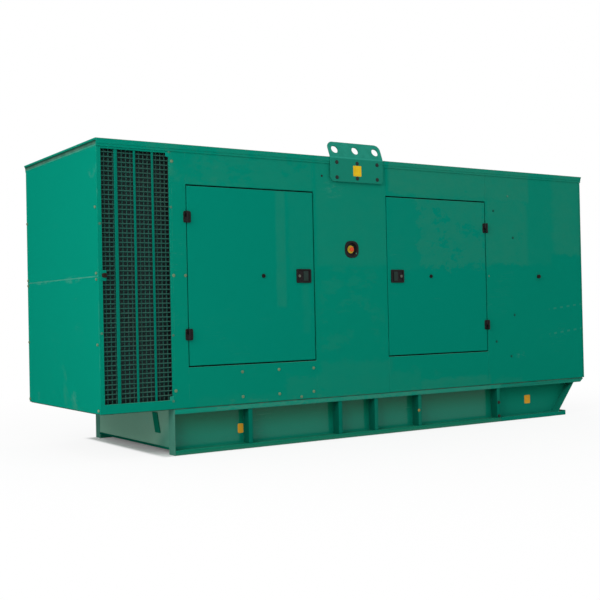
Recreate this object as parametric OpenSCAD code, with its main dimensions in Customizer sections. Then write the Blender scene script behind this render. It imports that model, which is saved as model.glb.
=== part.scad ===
// Sound-attenuated diesel generator set: a sheet-steel enclosure on a bolted base frame.
// X runs along the set from the air-outlet end (-X) to the plain end (+X), -Y is the front
// side, Z is up, and the origin lies on the floor under the middle of the roof.

/* [Enclosure] */
// Length over the roof
roof_l = 5110; // [4700:10:5600]
// Width over the roof
roof_w = 1563; // [1400:1:1800]
// Height of the roof's top face above the floor
roof_top = 2337; // [2250:1:2450]
// Depth of the roof pan's edge
roof_t = 58; // [45:1:75]
// How far the roof stands out past the walls
roof_lip = 10; // [4:1:20]
// Height of the enclosure's lower edge above the floor
body_z = 350; // [320:1:380]
// Thickness of a lined wall
wall_t = 60; // [56:1:75]
// Height of the seam between the two end panels
end_seam_z = 1342; // [1100:1:1600]

/* [Doors] */
// Width of a door leaf
door_w = 1155; // [1050:1:1200]
// Height of a door leaf
door_h = 1368; // [1250:1:1450]
// Height of a door leaf's lower edge
door_z = 663; // [600:1:750]
// Thickness of a door leaf
door_t = 45; // [38:1:48]
// Gap all round a door leaf
door_gap = 7; // [6:0.5:9]
// Distance from the walls' left end to the left door leaf
door_1_x = 718; // [705:1:760]
// Distance from the walls' left end to the right door leaf
door_2_x = 2637; // [2560:1:2700]
// How far the hinge axis stands out from the walls
hinge_proud = 20; // [19:0.5:24]
// Distance of each hinge above or below the door's middle
hinge_rise = 445; // [380:1:520]
// Width of the stop bars behind a door
stop_w = 25; // [15:1:40]
// Clear gap between a shut door and its stop bars
stop_gap = 5; // [5:0.5:6]

/* [Door fittings] */
// Height of a hinge
hinge_h = 88; // [60:1:110]
// Width of a hinge plate on a door
hinge_plate_w = 34; // [28:1:50]
// Width of a hinge plate on the wall
hinge_bracket_w = 23; // [20:1:40]
// Thickness of a hinge plate
hinge_plate_t = 4; // [3:0.5:5]
// Radius of a hinge barrel
barrel_r = 9; // [8:0.5:10]
// Radius of a hinge pin
pin_r = 5; // [4:0.5:6]
// Width of a door latch
latch_w = 140; // [100:1:160]
// Height of a door latch
latch_h = 112; // [80:1:140]
// How far a latch stands out from its door
latch_proud = 10; // [8:0.5:12]
// Distance from a latch to the door's free edge
latch_inset = 35; // [20:1:60]
// Distance from the hinge axis to the door's buffer and its catch
catch_reach = 672; // [655:1:680]
// Radius of the door's rubber buffer
buffer_r = 16; // [10:1:20]
// Length of the buffer
buffer_h = 10; // [8:0.5:11]
// Radius of the hold-open catch
catch_r = 18; // [12:1:20]
// Clear gap between the buffer and its catch with the door folded back
catch_gap = 5; // [5:0.5:7]

/* [Air grille] */
// Width of the grille bay from the walls' left end
grille_w = 595; // [570:1:620]
// Width of the corner stile
grille_stile_w = 35; // [30:1:45]
// Width of the narrow mesh column beside the corner stile
grille_first_w = 103; // [80:1:120]
// Width of the first mullion
mullion_1_w = 27; // [20:1:35]
// Width of each other mullion
mullion_w = 19; // [14:1:26]
// Width of the stile beside the door jamb
grille_last_w = 17; // [12:1:26]
// Height of the grille's bottom rail
grille_bottom_h = 68; // [50:1:90]
// Height of the grille's top rail
grille_top_h = 14; // [10:1:40]
// Depth of the mesh behind the outer face
mesh_depth = 15; // [10:1:25]
// Thickness of the mesh panel
mesh_t = 4; // [3:0.5:6]
// Distance from the outer face to the sound baffle behind the grille
baffle_depth = 110; // [90:1:140]
// Thickness of the sound baffle
baffle_t = 40; // [30:1:60]
// Length of the sound baffle from the end wall
baffle_l = 630; // [580:1:680]

/* [Emergency stop] */
// Distance of the stop button from the walls' left end
stop_x = 2258; // [2220:1:2300]
// Height of the stop button
stop_z = 1571; // [1300:1:1750]
// Width and height of the bezel
bezel_w = 142; // [130:1:160]
// Corner radius of the bezel
bezel_r = 52; // [40:1:60]
// How far the bezel stands out
bezel_proud = 5; // [4:0.5:8]
// Radius of the recess
cup_r = 54; // [50:1:60]
// Depth of the recess behind the walls' outer face
cup_depth = 15; // [12:1:20]
// Radius of the mushroom button
button_r = 20; // [16:1:24]
// Thickness of the mushroom
button_t = 9; // [6:0.5:11]
// How far the button stands out past the walls' outer face
button_proud = 8; // [6:0.5:10]

/* [Lifting brackets] */
// Width of a lifting bracket
lift_w = 548; // [500:1:600]
// Distance of its middle from the walls' left end
lift_x = 2318; // [2280:1:2400]
// Plate thickness
lift_t = 12; // [10:1:16]
// Height of the upright leg below the roof's top face
lift_leg_h = 204; // [170:1:230]
// Length of the leaning leg
lift_arm_l = 139; // [130:1:170]
// Lean of the upper leg over the roof, in degrees
lift_lean = 22; // [15:1:38]
// Radius of a lifting eye
eye_r = 34; // [25:1:38]
// Distance between lifting eyes
eye_pitch = 210.5; // [200:0.5:230]
// Distance from an eye's middle to the plate's upper edge
eye_edge = 72; // [60:1:80]
// Radius of the upper corners
arm_corner_r = 54; // [35:1:68]
// Radius of the lower corners
lift_corner_r = 35; // [15:1:50]

/* [Base frame] */
// How far the base rails' outer faces lie inside the roof's sides
base_inset = 14.5; // [12:0.5:60]
// Distance from the walls' left end to the base's left end
base_x = 583; // [500:1:700]
// Distance from the walls' left end to the bolted joint
joint_x = 3945; // [3800:10:4100]
// Height of the base frame
base_h = 344; // [310:1:344]
// Width of the rails' flanges
flange_w = 95; // [80:1:120]
// Thickness of the rails' webs and the cross plates
rail_t = 8; // [6:0.5:12]
// Depth of the rails' box-section flanges
flange_h = 36; // [25:1:45]
// Width of a stiffener
rib_w = 40; // [30:1:50]
// Distance from the base's left end to the middle of the first stiffener
rib_1_x = 668; // [500:1:900]
// Distance to the second stiffener and the first cross member
rib_2_x = 1535; // [1300:1:1700]
// Distance to the third stiffener
rib_3_x = 1911; // [1800:1:2100]
// Distance to the fourth stiffener and the second cross member
rib_4_x = 2394; // [2200:1:2700]
// Foot of the sloping end, from the walls' left end
slope_foot_x = 4713; // [4600:1:4760]
// Head of the sloping end, from the walls' left end
slope_head_x = 4939; // [4850:1:4990]
// End of the bottom flange, from the walls' left end
foot_end_x = 4813; // [4790:1:4900]
// Lower end of the top flange's bevel, from the walls' left end
head_end_x = 5033; // [5000:1:5060]
// Upper end of the top flange's bevel, from the walls' left end
head_top_x = 5081; // [5070:1:5086]
// Height of the left end plate's lower edge
end_plate_z = 68; // [40:1:120]
// Width of a cross member
cross_w = 80; // [60:1:120]
// Height of a cross member
cross_h = 120; // [80:1:160]
// Width of the cover strip on the left end plate
strip_w = 85; // [50:1:120]
// Height of the cover strip
strip_h = 155; // [100:1:180]
// Distance from the cover strip to the rail beside it
strip_inset = 162; // [60:1:400]

/* [Hidden] */
$fn = 48;
wall_l = roof_l - 2 * roof_lip;
wall_x = -wall_l / 2;
wall_y = roof_w / 2 - roof_lip;
inner_y = wall_y - wall_t;
wall_top = roof_top - roof_t;
deck_inset = 10;
deck_side_inset = 16;

door_1 = wall_x + door_1_x;
door_2 = wall_x + door_2_x;
door_mid_z = door_z + door_h / 2;
door_open_z0 = door_z - door_gap;
door_open_z1 = door_z + door_h + door_gap;
hinge_1 = door_1 - door_gap / 2;
hinge_2 = door_2 + door_w + door_gap / 2;
hinge_y = wall_y + hinge_proud;
stop_t = wall_t - door_t - stop_gap;
stop_corner_gap = 1;

knuckle_gap = 0.3;
pin_gap = 0.1;
pin_cap = 5;
arm_inset = 2;
latch_rim = 12;
latch_floor = 4;
latch_corner_r = 8;
paddle_t = 4;
catch_plate_w = 45;
catch_plate_h = 77;
catch_plate_t = 3;
catch_proud = 2 * hinge_proud - buffer_h - catch_gap;

mullion_count = 3;
grille_cols = 4;
grille_inner_w = grille_w - grille_stile_w - grille_first_w - mullion_1_w
    - (mullion_count - 1) * mullion_w - grille_last_w;
column_w = grille_inner_w / (grille_cols - 1);
grille_z0 = body_z + grille_bottom_h;
grille_z1 = wall_top - grille_top_h;
gusset_w = 32;

estop_x = wall_x + stop_x;
housing_gap = 0.3;
housing_wall = 6;
housing_r = cup_r + housing_wall;
cup_floor_t = 12;
disc_r = 36;
disc_t = 3;
stem_r = 7;
stem_gap = 0.5;

lift_mid = wall_x + lift_x;
lift_back_y = roof_w / 2;
packer_inset = 12;
upper_fold = lift_t * tan(lift_lean / 2);

rail_x = wall_x + base_x;
rail_y = roof_w / 2 - base_inset;
web_y = rail_y - flange_w;
joint = wall_x + joint_x;
slope_foot = wall_x + slope_foot_x;
slope_head = wall_x + slope_head_x;
foot_end = wall_x + foot_end_x;
head_end = wall_x + head_end_x;
head_top = wall_x + head_top_x;
rib_steps = [rib_1_x, rib_2_x, rib_3_x, rib_4_x];
cross_steps = [rib_2_x, rib_4_x];
strip_t = 8;
strip_z = 150;

green = [0.0, 0.48, 0.40];
dark_green = [0.1, 0.34, 0.27];
black = [0.08, 0.08, 0.08];
foam = [0.13, 0.13, 0.13];
yellow = [0.95, 0.75, 0.1];
red = [0.75, 0.1, 0.08];

// A box from one corner to the opposite one
module box(a, b) {
    translate(a) cube(b - a);
}

// Whatever is built for the front side, turned over to the back
module on_back() {
    mirror([0, 1, 0]) children();
}

// ---- Base frame ----

// Rail section, open outwards, in Y and Z: a plate web between two deep flanges
module rail_section() {
    polygon([
        [-rail_y, 0], [-web_y, 0], [-web_y, base_h], [-rail_y, base_h],
        [-rail_y, base_h - flange_h], [-web_y - rail_t, base_h - flange_h],
        [-web_y - rail_t, flange_h], [-rail_y, flange_h]]);
}

// The section swept from x0 to x1
module channel(x0, x1) {
    translate([x0, 0, 0])
        rotate([90, 0, 90])
            linear_extrude(x1 - x0) rail_section();
}

// One main rail, up to its bolted joint
module base_rail() {
    color(green) channel(rail_x + rail_t, joint);
}

// Upright stiffener between the flanges, its left edge at x
module rib(x) {
    box([x, -rail_y + rail_t, flange_h], [x + rib_w, -web_y - rail_t, base_h - flange_h]);
}

// Side view of the sloping end plate between the flanges
module slope_view() {
    polygon([
        [slope_foot - rail_t, flange_h], [slope_foot, flange_h],
        [slope_head, base_h - flange_h], [slope_head - rail_t, base_h - flange_h]]);
}

// One side's stiffeners, the last one at the joint, and the plates that close both ends
module side_stiffeners() {
    box([rail_x, -rail_y, 0], [rail_x + rail_t, -web_y, base_h]);
    for (step = rib_steps) rib(rail_x + step - rib_w / 2);
    rib(joint - rib_w);
    in_side_view(-rail_y, -web_y - rail_t) slope_view();
}

module base_stiffeners() {
    color(green) {
        side_stiffeners();
        on_back() side_stiffeners();
    }
}

// Side view of the extension's web, from the joint to the sloping end
module extension_web() {
    polygon([
        [joint, flange_h], [slope_foot, flange_h], [slope_head, base_h - flange_h],
        [joint, base_h - flange_h]]);
}

// Side view of its two flanges: the foot runs on past the slope, the top one ends in a bevel
module extension_flanges() {
    polygon([[joint, 0], [foot_end, 0], [foot_end, flange_h], [joint, flange_h]]);
    polygon([
        [joint, base_h - flange_h], [head_end, base_h - flange_h], [head_top, base_h],
        [joint, base_h]]);
}

// An outline in X and Z, extruded from y0 to y1
module in_side_view(y0, y1) {
    translate([0, y1, 0]) rotate([90, 0, 0]) linear_extrude(y1 - y0) children();
}

// Bolted end of a base rail, with its sloping end
module base_extension() {
    color(green) union() {
        in_side_view(-web_y - rail_t, -web_y) extension_web();
        in_side_view(-rail_y, -web_y) extension_flanges();
    }
}

// Cross plates: upright between the rails on the left, sloping between the extensions
module base_end_plates() {
    color(green) {
        box([rail_x, -web_y, end_plate_z], [rail_x + rail_t, web_y, base_h]);
        in_side_view(-web_y, web_y) {
            slope_view();
            translate([slope_head - rail_t, base_h - flange_h]) square([rail_t, flange_h]);
        }
    }
}

// Narrow cover strip on the left end plate
module base_cover_strip() {
    color(dark_green)
        box([rail_x - strip_t, -web_y + strip_inset, strip_z],
            [rail_x, -web_y + strip_inset + strip_w, strip_z + strip_h]);
}

// Beams across the base under the deck
module base_cross_members() {
    color(dark_green) for (step = cross_steps)
        box([rail_x + step - cross_w / 2, -web_y, base_h - cross_h],
            [rail_x + step + cross_w / 2, web_y, base_h]);
}

// Floor of the enclosure, a little inside the walls' outer faces
module floor_deck() {
    color(dark_green)
        box([wall_x + deck_inset, -wall_y + deck_side_inset, base_h],
            [-wall_x - deck_inset, wall_y - deck_side_inset, body_z]);
}

// ---- Side walls ----

// A lined slab of the front wall
module wall_slab(x0, x1, z0, z1) {
    color(green) box([x0, -wall_y, z0], [x1, -inner_y, z1]);
}

// Left edge of mesh column i, from 0
function column_x(i) = wall_x + grille_stile_w
    + (i == 0 ? 0 : grille_first_w + mullion_1_w + (i - 1) * (column_w + mullion_w));
// Width of mesh column i
function column_width(i) = i == 0 ? grille_first_w : column_w;

// Frame of the air grille: stiles, rails, mullions and two corner gussets
module grille_frame() {
    color(green) difference() {
        box([wall_x, -wall_y, body_z], [wall_x + grille_w, -inner_y, wall_top]);
        for (i = [0 : grille_cols - 1])
            box([column_x(i), -wall_y - 1, grille_z0],
                [column_x(i) + column_width(i), -wall_y + mesh_depth, grille_z1]);
        box([column_x(0), -wall_y + mesh_depth - 1, grille_z0],
            [wall_x + grille_w - grille_last_w, -inner_y + 1, grille_z1]);
    }
    color(green) for (top = [0, 1]) grille_gusset(top);
}

// Triangular gusset in a right-hand corner of the grille
module grille_gusset(top) {
    x1 = wall_x + grille_w - grille_last_w;
    z = top == 1 ? grille_z1 : grille_z0;
    way = top == 1 ? -1 : 1;
    in_side_view(-wall_y, -wall_y + mesh_depth)
        polygon([[x1 + 1, z - way], [x1 + 1, z + way * gusset_w], [x1, z + way * gusset_w],
            [x1 - gusset_w, z], [x1 - gusset_w, z - way]]);
}

// Flat mesh panel held behind the grille's mullions
module grille_mesh() {
    color(black)
        box([column_x(0), -wall_y + mesh_depth, grille_z0],
            [wall_x + grille_w - grille_last_w, -wall_y + mesh_depth + mesh_t, grille_z1]);
}

// Foam-faced sound baffles that stand behind the two grilles
module grille_baffles() {
    color(foam) for (side = [-1, 1]) {
        y = side * (wall_y - baffle_depth - baffle_t / 2);
        box([wall_x + wall_t, y - baffle_t / 2, body_z],
            [wall_x + wall_t + baffle_l, y + baffle_t / 2, wall_top]);
    }
}

module door_jamb() {
    wall_slab(wall_x + grille_w, door_1 - door_gap, body_z, wall_top);
}

// The panels above the two doorways
module door_headers() {
    for (x = [door_1, door_2])
        wall_slab(x - door_gap, x + door_w + door_gap, door_open_z1, wall_top);
}

// The panels below the two doorways
module door_sills() {
    for (x = [door_1, door_2])
        wall_slab(x - door_gap, x + door_w + door_gap, body_z, door_open_z0);
}

module middle_panel() {
    wall_slab(door_1 + door_w + door_gap, door_2 - door_gap, body_z, wall_top);
}

// Middle panel of the front, with its hole for the emergency stop
module front_middle_panel() {
    color(green) difference() {
        middle_panel();
        translate([estop_x, -wall_y - 1, stop_z])
            rotate([-90, 0, 0]) cylinder(r = housing_r + housing_gap, h = wall_t + 2);
    }
}

module right_panel() {
    wall_slab(door_2 + door_w + door_gap, -wall_x, body_z, wall_top);
}

// Four stop bars on the doorway's reveals, behind one door
module door_stop_bars(x) {
    x0 = x - door_gap;
    x1 = x + door_w + door_gap;
    y0 = -inner_y - stop_t;
    box([x0, y0, door_open_z0], [x0 + stop_w, -inner_y, door_open_z1]);
    box([x1 - stop_w, y0, door_open_z0], [x1, -inner_y, door_open_z1]);
    for (z = [door_open_z0, door_open_z1 - stop_w])
        box([x0 + stop_w + stop_corner_gap, y0, z],
            [x1 - stop_w - stop_corner_gap, -inner_y, z + stop_w]);
}

module door_stops() {
    color(black) {
        door_stop_bars(door_1);
        door_stop_bars(door_2);
    }
}

// ---- Doors ----

// A door leaf, its outer face flush with the wall
module door_leaf(x) {
    color(green) box([x, -wall_y, door_z], [x + door_w, -wall_y + door_t, door_z + door_h]);
}

// Hinge half at axis x: the plate and knuckle lie on the side that way points to
module hinge_half(x, z, way, upper) {
    z0 = upper ? z + knuckle_gap / 2 : z - hinge_h / 2;
    z1 = upper ? z + hinge_h / 2 : z - knuckle_gap / 2;
    plate_a = x + way * door_gap / 2;
    plate_b = plate_a + way * (upper ? hinge_plate_w : hinge_bracket_w);
    arm_a = x + way * arm_inset;
    arm_b = x + way * barrel_r;
    difference() {
        union() {
            box([min(plate_a, plate_b), -wall_y - hinge_plate_t, z - hinge_h / 2],
                [max(plate_a, plate_b), -wall_y, z + hinge_h / 2]);
            box([min(arm_a, arm_b), -hinge_y, z0],
                [max(arm_a, arm_b), -wall_y - hinge_plate_t / 2, z1]);
            translate([x, -hinge_y, z0]) cylinder(r = barrel_r, h = z1 - z0);
            if (!upper)
                translate([x, -hinge_y, z0])
                    cylinder(r = pin_r, h = hinge_h - pin_cap - knuckle_gap);
        }
        if (upper)
            translate([x, -hinge_y, z0 - 1])
                cylinder(r = pin_r + pin_gap, h = z1 - z0 - pin_cap + 1);
    }
}

// The two fixed or moving hinge halves of one door
module hinge_pair(x, way, upper) {
    for (rise = [-hinge_rise, hinge_rise])
        hinge_half(x, door_mid_z + rise, way, upper);
}

module hinge_brackets() {
    color(black) {
        hinge_pair(hinge_1, -1, false);
        hinge_pair(hinge_2, 1, false);
    }
}

// Recessed paddle latch: a rimmed pan with a flat paddle, its left edge at x
module latch(x) {
    z0 = door_mid_z - latch_h / 2;
    difference() {
        in_side_view(-wall_y - latch_proud, -wall_y)
            translate([x + latch_w / 2, door_mid_z])
                rounded_rect(latch_w, latch_h, latch_corner_r);
        box([x + latch_rim, -wall_y - latch_proud - 1, z0 + latch_rim],
            [x + latch_w - latch_rim, -wall_y - latch_floor, z0 + latch_h - latch_rim]);
    }
    box([x + latch_w * 0.3, -wall_y - latch_floor - paddle_t, z0 + 2 * latch_rim],
        [x + latch_w * 0.7, -wall_y - latch_floor + 1, z0 + latch_h - 2 * latch_rim]);
}

// A centred rectangle with round corners
module rounded_rect(w, h, r) {
    square([w - 2 * r, h], center = true);
    square([w, h - 2 * r], center = true);
    for (i = [-1, 1], j = [-1, 1]) translate([i * (w / 2 - r), j * (h / 2 - r)]) circle(r);
}

// Rubber buffer that meets the catch when the door is folded back
module buffer(x) {
    translate([x, -wall_y, door_mid_z]) rotate([90, 0, 0]) cylinder(r = buffer_r, h = buffer_h);
}

// Hinge leaves, latch and buffer of the left door
module door_1_fittings() {
    color(black) {
        hinge_pair(hinge_1, 1, true);
        latch(door_1 + door_w - latch_inset - latch_w);
        buffer(hinge_1 + catch_reach);
    }
}

// Hinge leaves, latch and buffer of the right door
module door_2_fittings() {
    color(black) {
        hinge_pair(hinge_2, -1, true);
        latch(door_2 + latch_inset);
        buffer(hinge_2 - catch_reach);
    }
}

// Hold-open catch: a small plate with a round post
module catch(x, plate_x) {
    box([plate_x, -wall_y - catch_plate_t, door_mid_z - catch_plate_h / 2],
        [plate_x + catch_plate_w, -wall_y, door_mid_z + catch_plate_h / 2]);
    translate([x, -wall_y - catch_plate_t / 2, door_mid_z])
        rotate([90, 0, 0]) cylinder(r = catch_r, h = catch_proud - catch_plate_t / 2);
}

// One side's catches; the one beside the grille is carried by the corner stile
module side_catches() {
    x1 = hinge_1 - catch_reach;
    x2 = hinge_2 + catch_reach;
    catch(x1, min(x1 - catch_plate_w / 2, wall_x + grille_stile_w / 2));
    catch(x2, x2 - catch_plate_w / 2);
}

module door_catches() {
    color(black) {
        side_catches();
        on_back() side_catches();
    }
}

// ---- Ends and roof ----

// A lined end slab between the side walls, mirrored to either end
module end_slab(side, z0, z1) {
    x0 = side < 0 ? wall_x : -wall_x - wall_t;
    color(green) box([x0, -inner_y, z0], [x0 + wall_t, inner_y, z1]);
}

module left_end_upper() {
    end_slab(-1, end_seam_z, wall_top);
}

module left_end_lower() {
    end_slab(-1, body_z, end_seam_z);
}

module right_end_upper() {
    end_slab(1, end_seam_z, wall_top);
}

module right_end_lower() {
    end_slab(1, body_z, end_seam_z);
}

module roof() {
    color(green) box([-roof_l / 2, -roof_w / 2, wall_top], [roof_l / 2, roof_w / 2, roof_top]);
}

// ---- Lifting brackets ----

// Folded plate in section, its upright leg flat on the roof's edge: Y to the right, Z up
module lift_section() {
    polygon([
        [-lift_back_y, roof_top - lift_leg_h],
        [-lift_back_y, roof_top],
        [-lift_back_y + lift_arm_l * sin(lift_lean), roof_top + lift_arm_l * cos(lift_lean)],
        [-lift_back_y + lift_arm_l * sin(lift_lean) - lift_t * cos(lift_lean),
            roof_top + lift_arm_l * cos(lift_lean) + lift_t * sin(lift_lean)],
        [-lift_back_y - lift_t, roof_top + upper_fold],
        [-lift_back_y - lift_t, roof_top - lift_leg_h]]);
}

// What a round corner takes off a square one: its corner at the origin, the plate in +X +Y
module corner_waste(r) {
    difference() {
        translate([-1, -1]) square(r + 1);
        translate([r, r]) circle(r);
    }
}

// Lifting bracket with three eyes, round corners and a packer under the roof's edge
module lifting_bracket() {
    x0 = lift_mid - lift_w / 2;
    color(green) difference() {
        union() {
            translate([x0, 0, 0]) rotate([90, 0, 90]) linear_extrude(lift_w) lift_section();
            box([x0 + packer_inset, -lift_back_y - lift_t / 2, roof_top - lift_leg_h + packer_inset],
                [x0 + lift_w - packer_inset, -wall_y, wall_top]);
        }
        for (side = [-1, 1]) translate([lift_mid, 0, 0]) to_side(side) {
            translate([-lift_w / 2, 0, roof_top - lift_leg_h])
                in_side_view(-lift_back_y - lift_t - 1, -lift_back_y + 1)
                    corner_waste(lift_corner_r);
            translate([-lift_w / 2, -lift_back_y, roof_top])
                rotate([-lift_lean, 0, 0])
                    translate([0, 0, lift_arm_l])
                        in_side_view(-lift_t - 1, 1)
                            mirror([0, 1]) corner_waste(arm_corner_r);
        }
        for (i = [-1 : 1]) lifting_eye(lift_mid + i * eye_pitch);
    }
}

// Mirror in X for a side of -1 or 1
module to_side(side) {
    mirror([side > 0 ? 1 : 0, 0, 0]) children();
}

// Round hole square through the leaning leg
module lifting_eye(x) {
    translate([x, -lift_back_y, roof_top])
        rotate([-lift_lean, 0, 0])
            translate([0, 1, lift_arm_l - eye_edge])
                rotate([90, 0, 0]) cylinder(r = eye_r, h = lift_t + 2);
}

// ---- Emergency stop ----

// Bezel and recessed cup, with the disc at its bottom
module emergency_stop_housing() {
    color(black) difference() {
        union() {
            in_side_view(-wall_y - bezel_proud, -wall_y)
                translate([estop_x, stop_z]) rounded_rect(bezel_w, bezel_w, bezel_r);
            translate([estop_x, -wall_y - bezel_proud / 2, stop_z])
                rotate([-90, 0, 0])
                    cylinder(r = housing_r, h = bezel_proud / 2 + cup_depth + cup_floor_t);
        }
        translate([estop_x, -wall_y - bezel_proud - 1, stop_z])
            rotate([-90, 0, 0]) cylinder(r = cup_r, h = bezel_proud + 1 + cup_depth + disc_t);
        translate([estop_x, -wall_y, stop_z])
            rotate([-90, 0, 0]) cylinder(r = stem_r + stem_gap, h = cup_depth + cup_floor_t + 1);
    }
    color(yellow) translate([estop_x, -wall_y + cup_depth, stop_z])
        rotate([-90, 0, 0]) difference() {
            cylinder(r = disc_r, h = disc_t);
            translate([0, 0, -1]) cylinder(r = stem_r + stem_gap, h = disc_t + 2);
        }
}

// Mushroom button on its stem
module emergency_stop_button() {
    color(red) translate([estop_x, -wall_y - button_proud, stop_z]) rotate([-90, 0, 0]) {
        cylinder(r = button_r, h = button_t);
        cylinder(r = stem_r, h = button_proud + cup_depth + cup_floor_t);
    }
}

base_rail();  // front_base_rail
on_back() base_rail();  // back_base_rail
base_extension();  // front_base_extension
on_back() base_extension();  // back_base_extension
base_stiffeners();
base_end_plates();
base_cover_strip();
base_cross_members();
floor_deck();
grille_frame();  // front_grille_frame
grille_mesh();  // front_grille_mesh
door_jamb();  // front_door_jamb
door_headers();  // front_door_headers
door_sills();  // front_door_sills
front_middle_panel();
right_panel();  // front_right_panel
door_stops();  // front_door_stops
hinge_brackets();  // front_hinge_brackets
on_back() grille_frame();  // back_grille_frame
on_back() grille_mesh();  // back_grille_mesh
on_back() door_jamb();  // back_door_jamb
on_back() door_headers();  // back_door_headers
on_back() door_sills();  // back_door_sills
on_back() middle_panel();  // back_middle_panel
on_back() right_panel();  // back_right_panel
on_back() door_stops();  // back_door_stops
on_back() hinge_brackets();  // back_hinge_brackets
door_catches();
grille_baffles();
left_end_upper();
left_end_lower();
right_end_upper();
right_end_lower();
roof();
door_leaf(door_1);  // front_door_1
door_1_fittings();  // front_door_1_fittings
door_leaf(door_2);  // front_door_2
door_2_fittings();  // front_door_2_fittings
on_back() door_leaf(door_1);  // back_door_1
on_back() door_1_fittings();  // back_door_1_fittings
on_back() door_leaf(door_2);  // back_door_2
on_back() door_2_fittings();  // back_door_2_fittings
lifting_bracket();  // front_lifting_bracket
on_back() lifting_bracket();  // back_lifting_bracket
emergency_stop_housing();
emergency_stop_button();
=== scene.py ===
"""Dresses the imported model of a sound-attenuated diesel generator set.

The enclosure is folded sheet steel with a foam lining, two hinged doors on each long side, a
wire-mesh air grille at the left end and a folded lifting bracket over each roof edge. It stands
on a welded base frame with a bolted, sloping right end. All lengths are metres, in the frame of
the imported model: +X along the set, -Y the front side, +Z up.
"""

import logging
import math
from dataclasses import dataclass, field
from enum import Enum
from typing import Callable, Iterable

import bpy
import numpy as np
from mathutils import Matrix, Vector


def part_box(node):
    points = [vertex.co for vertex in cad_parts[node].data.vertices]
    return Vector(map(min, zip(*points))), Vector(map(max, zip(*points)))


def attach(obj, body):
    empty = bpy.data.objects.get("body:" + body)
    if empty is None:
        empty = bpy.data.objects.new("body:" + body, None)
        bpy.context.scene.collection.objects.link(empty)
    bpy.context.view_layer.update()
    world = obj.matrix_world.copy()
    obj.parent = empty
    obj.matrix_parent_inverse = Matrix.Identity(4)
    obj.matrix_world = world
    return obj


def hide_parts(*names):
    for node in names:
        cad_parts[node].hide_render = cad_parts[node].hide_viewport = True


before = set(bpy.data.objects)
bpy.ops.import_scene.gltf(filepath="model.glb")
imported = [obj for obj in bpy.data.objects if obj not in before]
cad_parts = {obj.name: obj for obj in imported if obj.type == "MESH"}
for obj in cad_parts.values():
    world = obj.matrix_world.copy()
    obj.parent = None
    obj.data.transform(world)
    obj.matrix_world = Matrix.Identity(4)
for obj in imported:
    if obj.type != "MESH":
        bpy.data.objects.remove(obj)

Array = np.ndarray
Colour = tuple[float, float, float]
Node = bpy.types.Node
Place = Callable[[Array], Array]
Socket = bpy.types.NodeSocket
LOG = logging.getLogger("generator_set")


class Facing(Enum):
    """A way that a wall faces; its value is the sign of the axis."""

    @property
    def word(self) -> str:
        """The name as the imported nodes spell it."""
        return self.name.lower()


class Side(Facing):
    """The two long sides of the set, by the sign of Y."""

    FRONT = -1
    BACK = 1


class End(Facing):
    """The two short ends of the set, by the sign of X."""

    LEFT = -1
    RIGHT = 1


def corners(node: str) -> tuple[Array, Array]:
    """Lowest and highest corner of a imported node."""
    low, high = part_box(node)
    return np.array(low), np.array(high)


# Planes that most pieces are set out from.
ROOF_LOW, ROOF_HIGH = corners("roof")
WALL_X = corners("front_right_panel")[1][0]
WALL_Y = -corners("front_right_panel")[0][1]
WALL_T = corners("front_right_panel")[1][1] + WALL_Y
BODY_Z = corners("front_right_panel")[0][2]
WALL_TOP = ROOF_LOW[2]
LEFT = -WALL_X
CORNER_LAP = 0.0012
DOOR_GAP = corners("front_door_1")[0][0] - corners("front_door_jamb")[1][0]
DOOR_T = corners("front_door_1")[1][1] - corners("front_door_1")[0][1]
DOOR_MID_Z = (corners("front_door_1")[0][2] + corners("front_door_1")[1][2]) / 2


# ---- Surfaces ----


@dataclass
class Surface:
    """A closed surface of four-sided faces and flat many-sided caps."""

    points: Array
    quads: Array
    caps: list[Array] = field(default_factory=list)

    def mapped(self, place: Place) -> "Surface":
        """The same faces on points moved by place."""
        return Surface(place(self.points), self.quads, self.caps)

    def at(self, offsets: Array) -> "Surface":
        """A copy of the surface at each offset, joined.

        Args:
            offsets: Steps to copy by, (k, 3).

        Returns:
            One surface that holds all the copies.
        """
        offsets = np.asarray(offsets, float).reshape(-1, 3)
        count = len(self.points)
        shift = np.arange(len(offsets)) * count
        points = (self.points[None] + offsets[:, None]).reshape(-1, 3)
        quads = (self.quads[None] + shift[:, None, None]).reshape(-1, 4)
        caps = [cap + step for step in shift for cap in self.caps]
        return Surface(points, quads, caps)

    def outward(self) -> "Surface":
        """The surface with its faces turned outwards.

        The volume under the faces, a third of the sum of corner . (edge x edge) / 2, is
        negative where they look inwards.

        Returns:
            The surface, turned over if it has to be.
        """
        fans = [self.quads[:, [0, 1, 2]], self.quads[:, [0, 2, 3]]]
        fans += [np.stack([np.full(len(c) - 2, c[0]), c[1:-1], c[2:]], axis=1) for c in self.caps]
        a, b, c = np.moveaxis(self.points[np.concatenate(fans)], 1, 0)
        if np.einsum("ij,ij->", a, np.cross(b, c)) >= 0:
            return self
        return Surface(self.points, self.quads[:, ::-1], [cap[::-1] for cap in self.caps])


def loft(rings: Array, closed: bool = False) -> Surface:
    """Four-sided faces between neighbouring rings of points.

    Point (i, j) is joined to (i + 1, j) along the path and to (i, j + 1) round the ring.

    Args:
        rings: Points, (stations, points round, 3).
        closed: Whether the last ring joins the first; otherwise both ends get a flat cap.

    Returns:
        A closed surface.
    """
    index = np.arange(rings.shape[0] * rings.shape[1]).reshape(rings.shape[:2])
    here = index if closed else index[:-1]
    there = np.roll(index, -1, axis=0) if closed else index[1:]
    quads = [here, np.roll(here, -1, axis=1), np.roll(there, -1, axis=1), there]
    caps = [] if closed else [index[0][::-1], index[-1]]
    return Surface(rings.reshape(-1, 3), np.stack(quads, axis=-1).reshape(-1, 4), caps)


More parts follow.
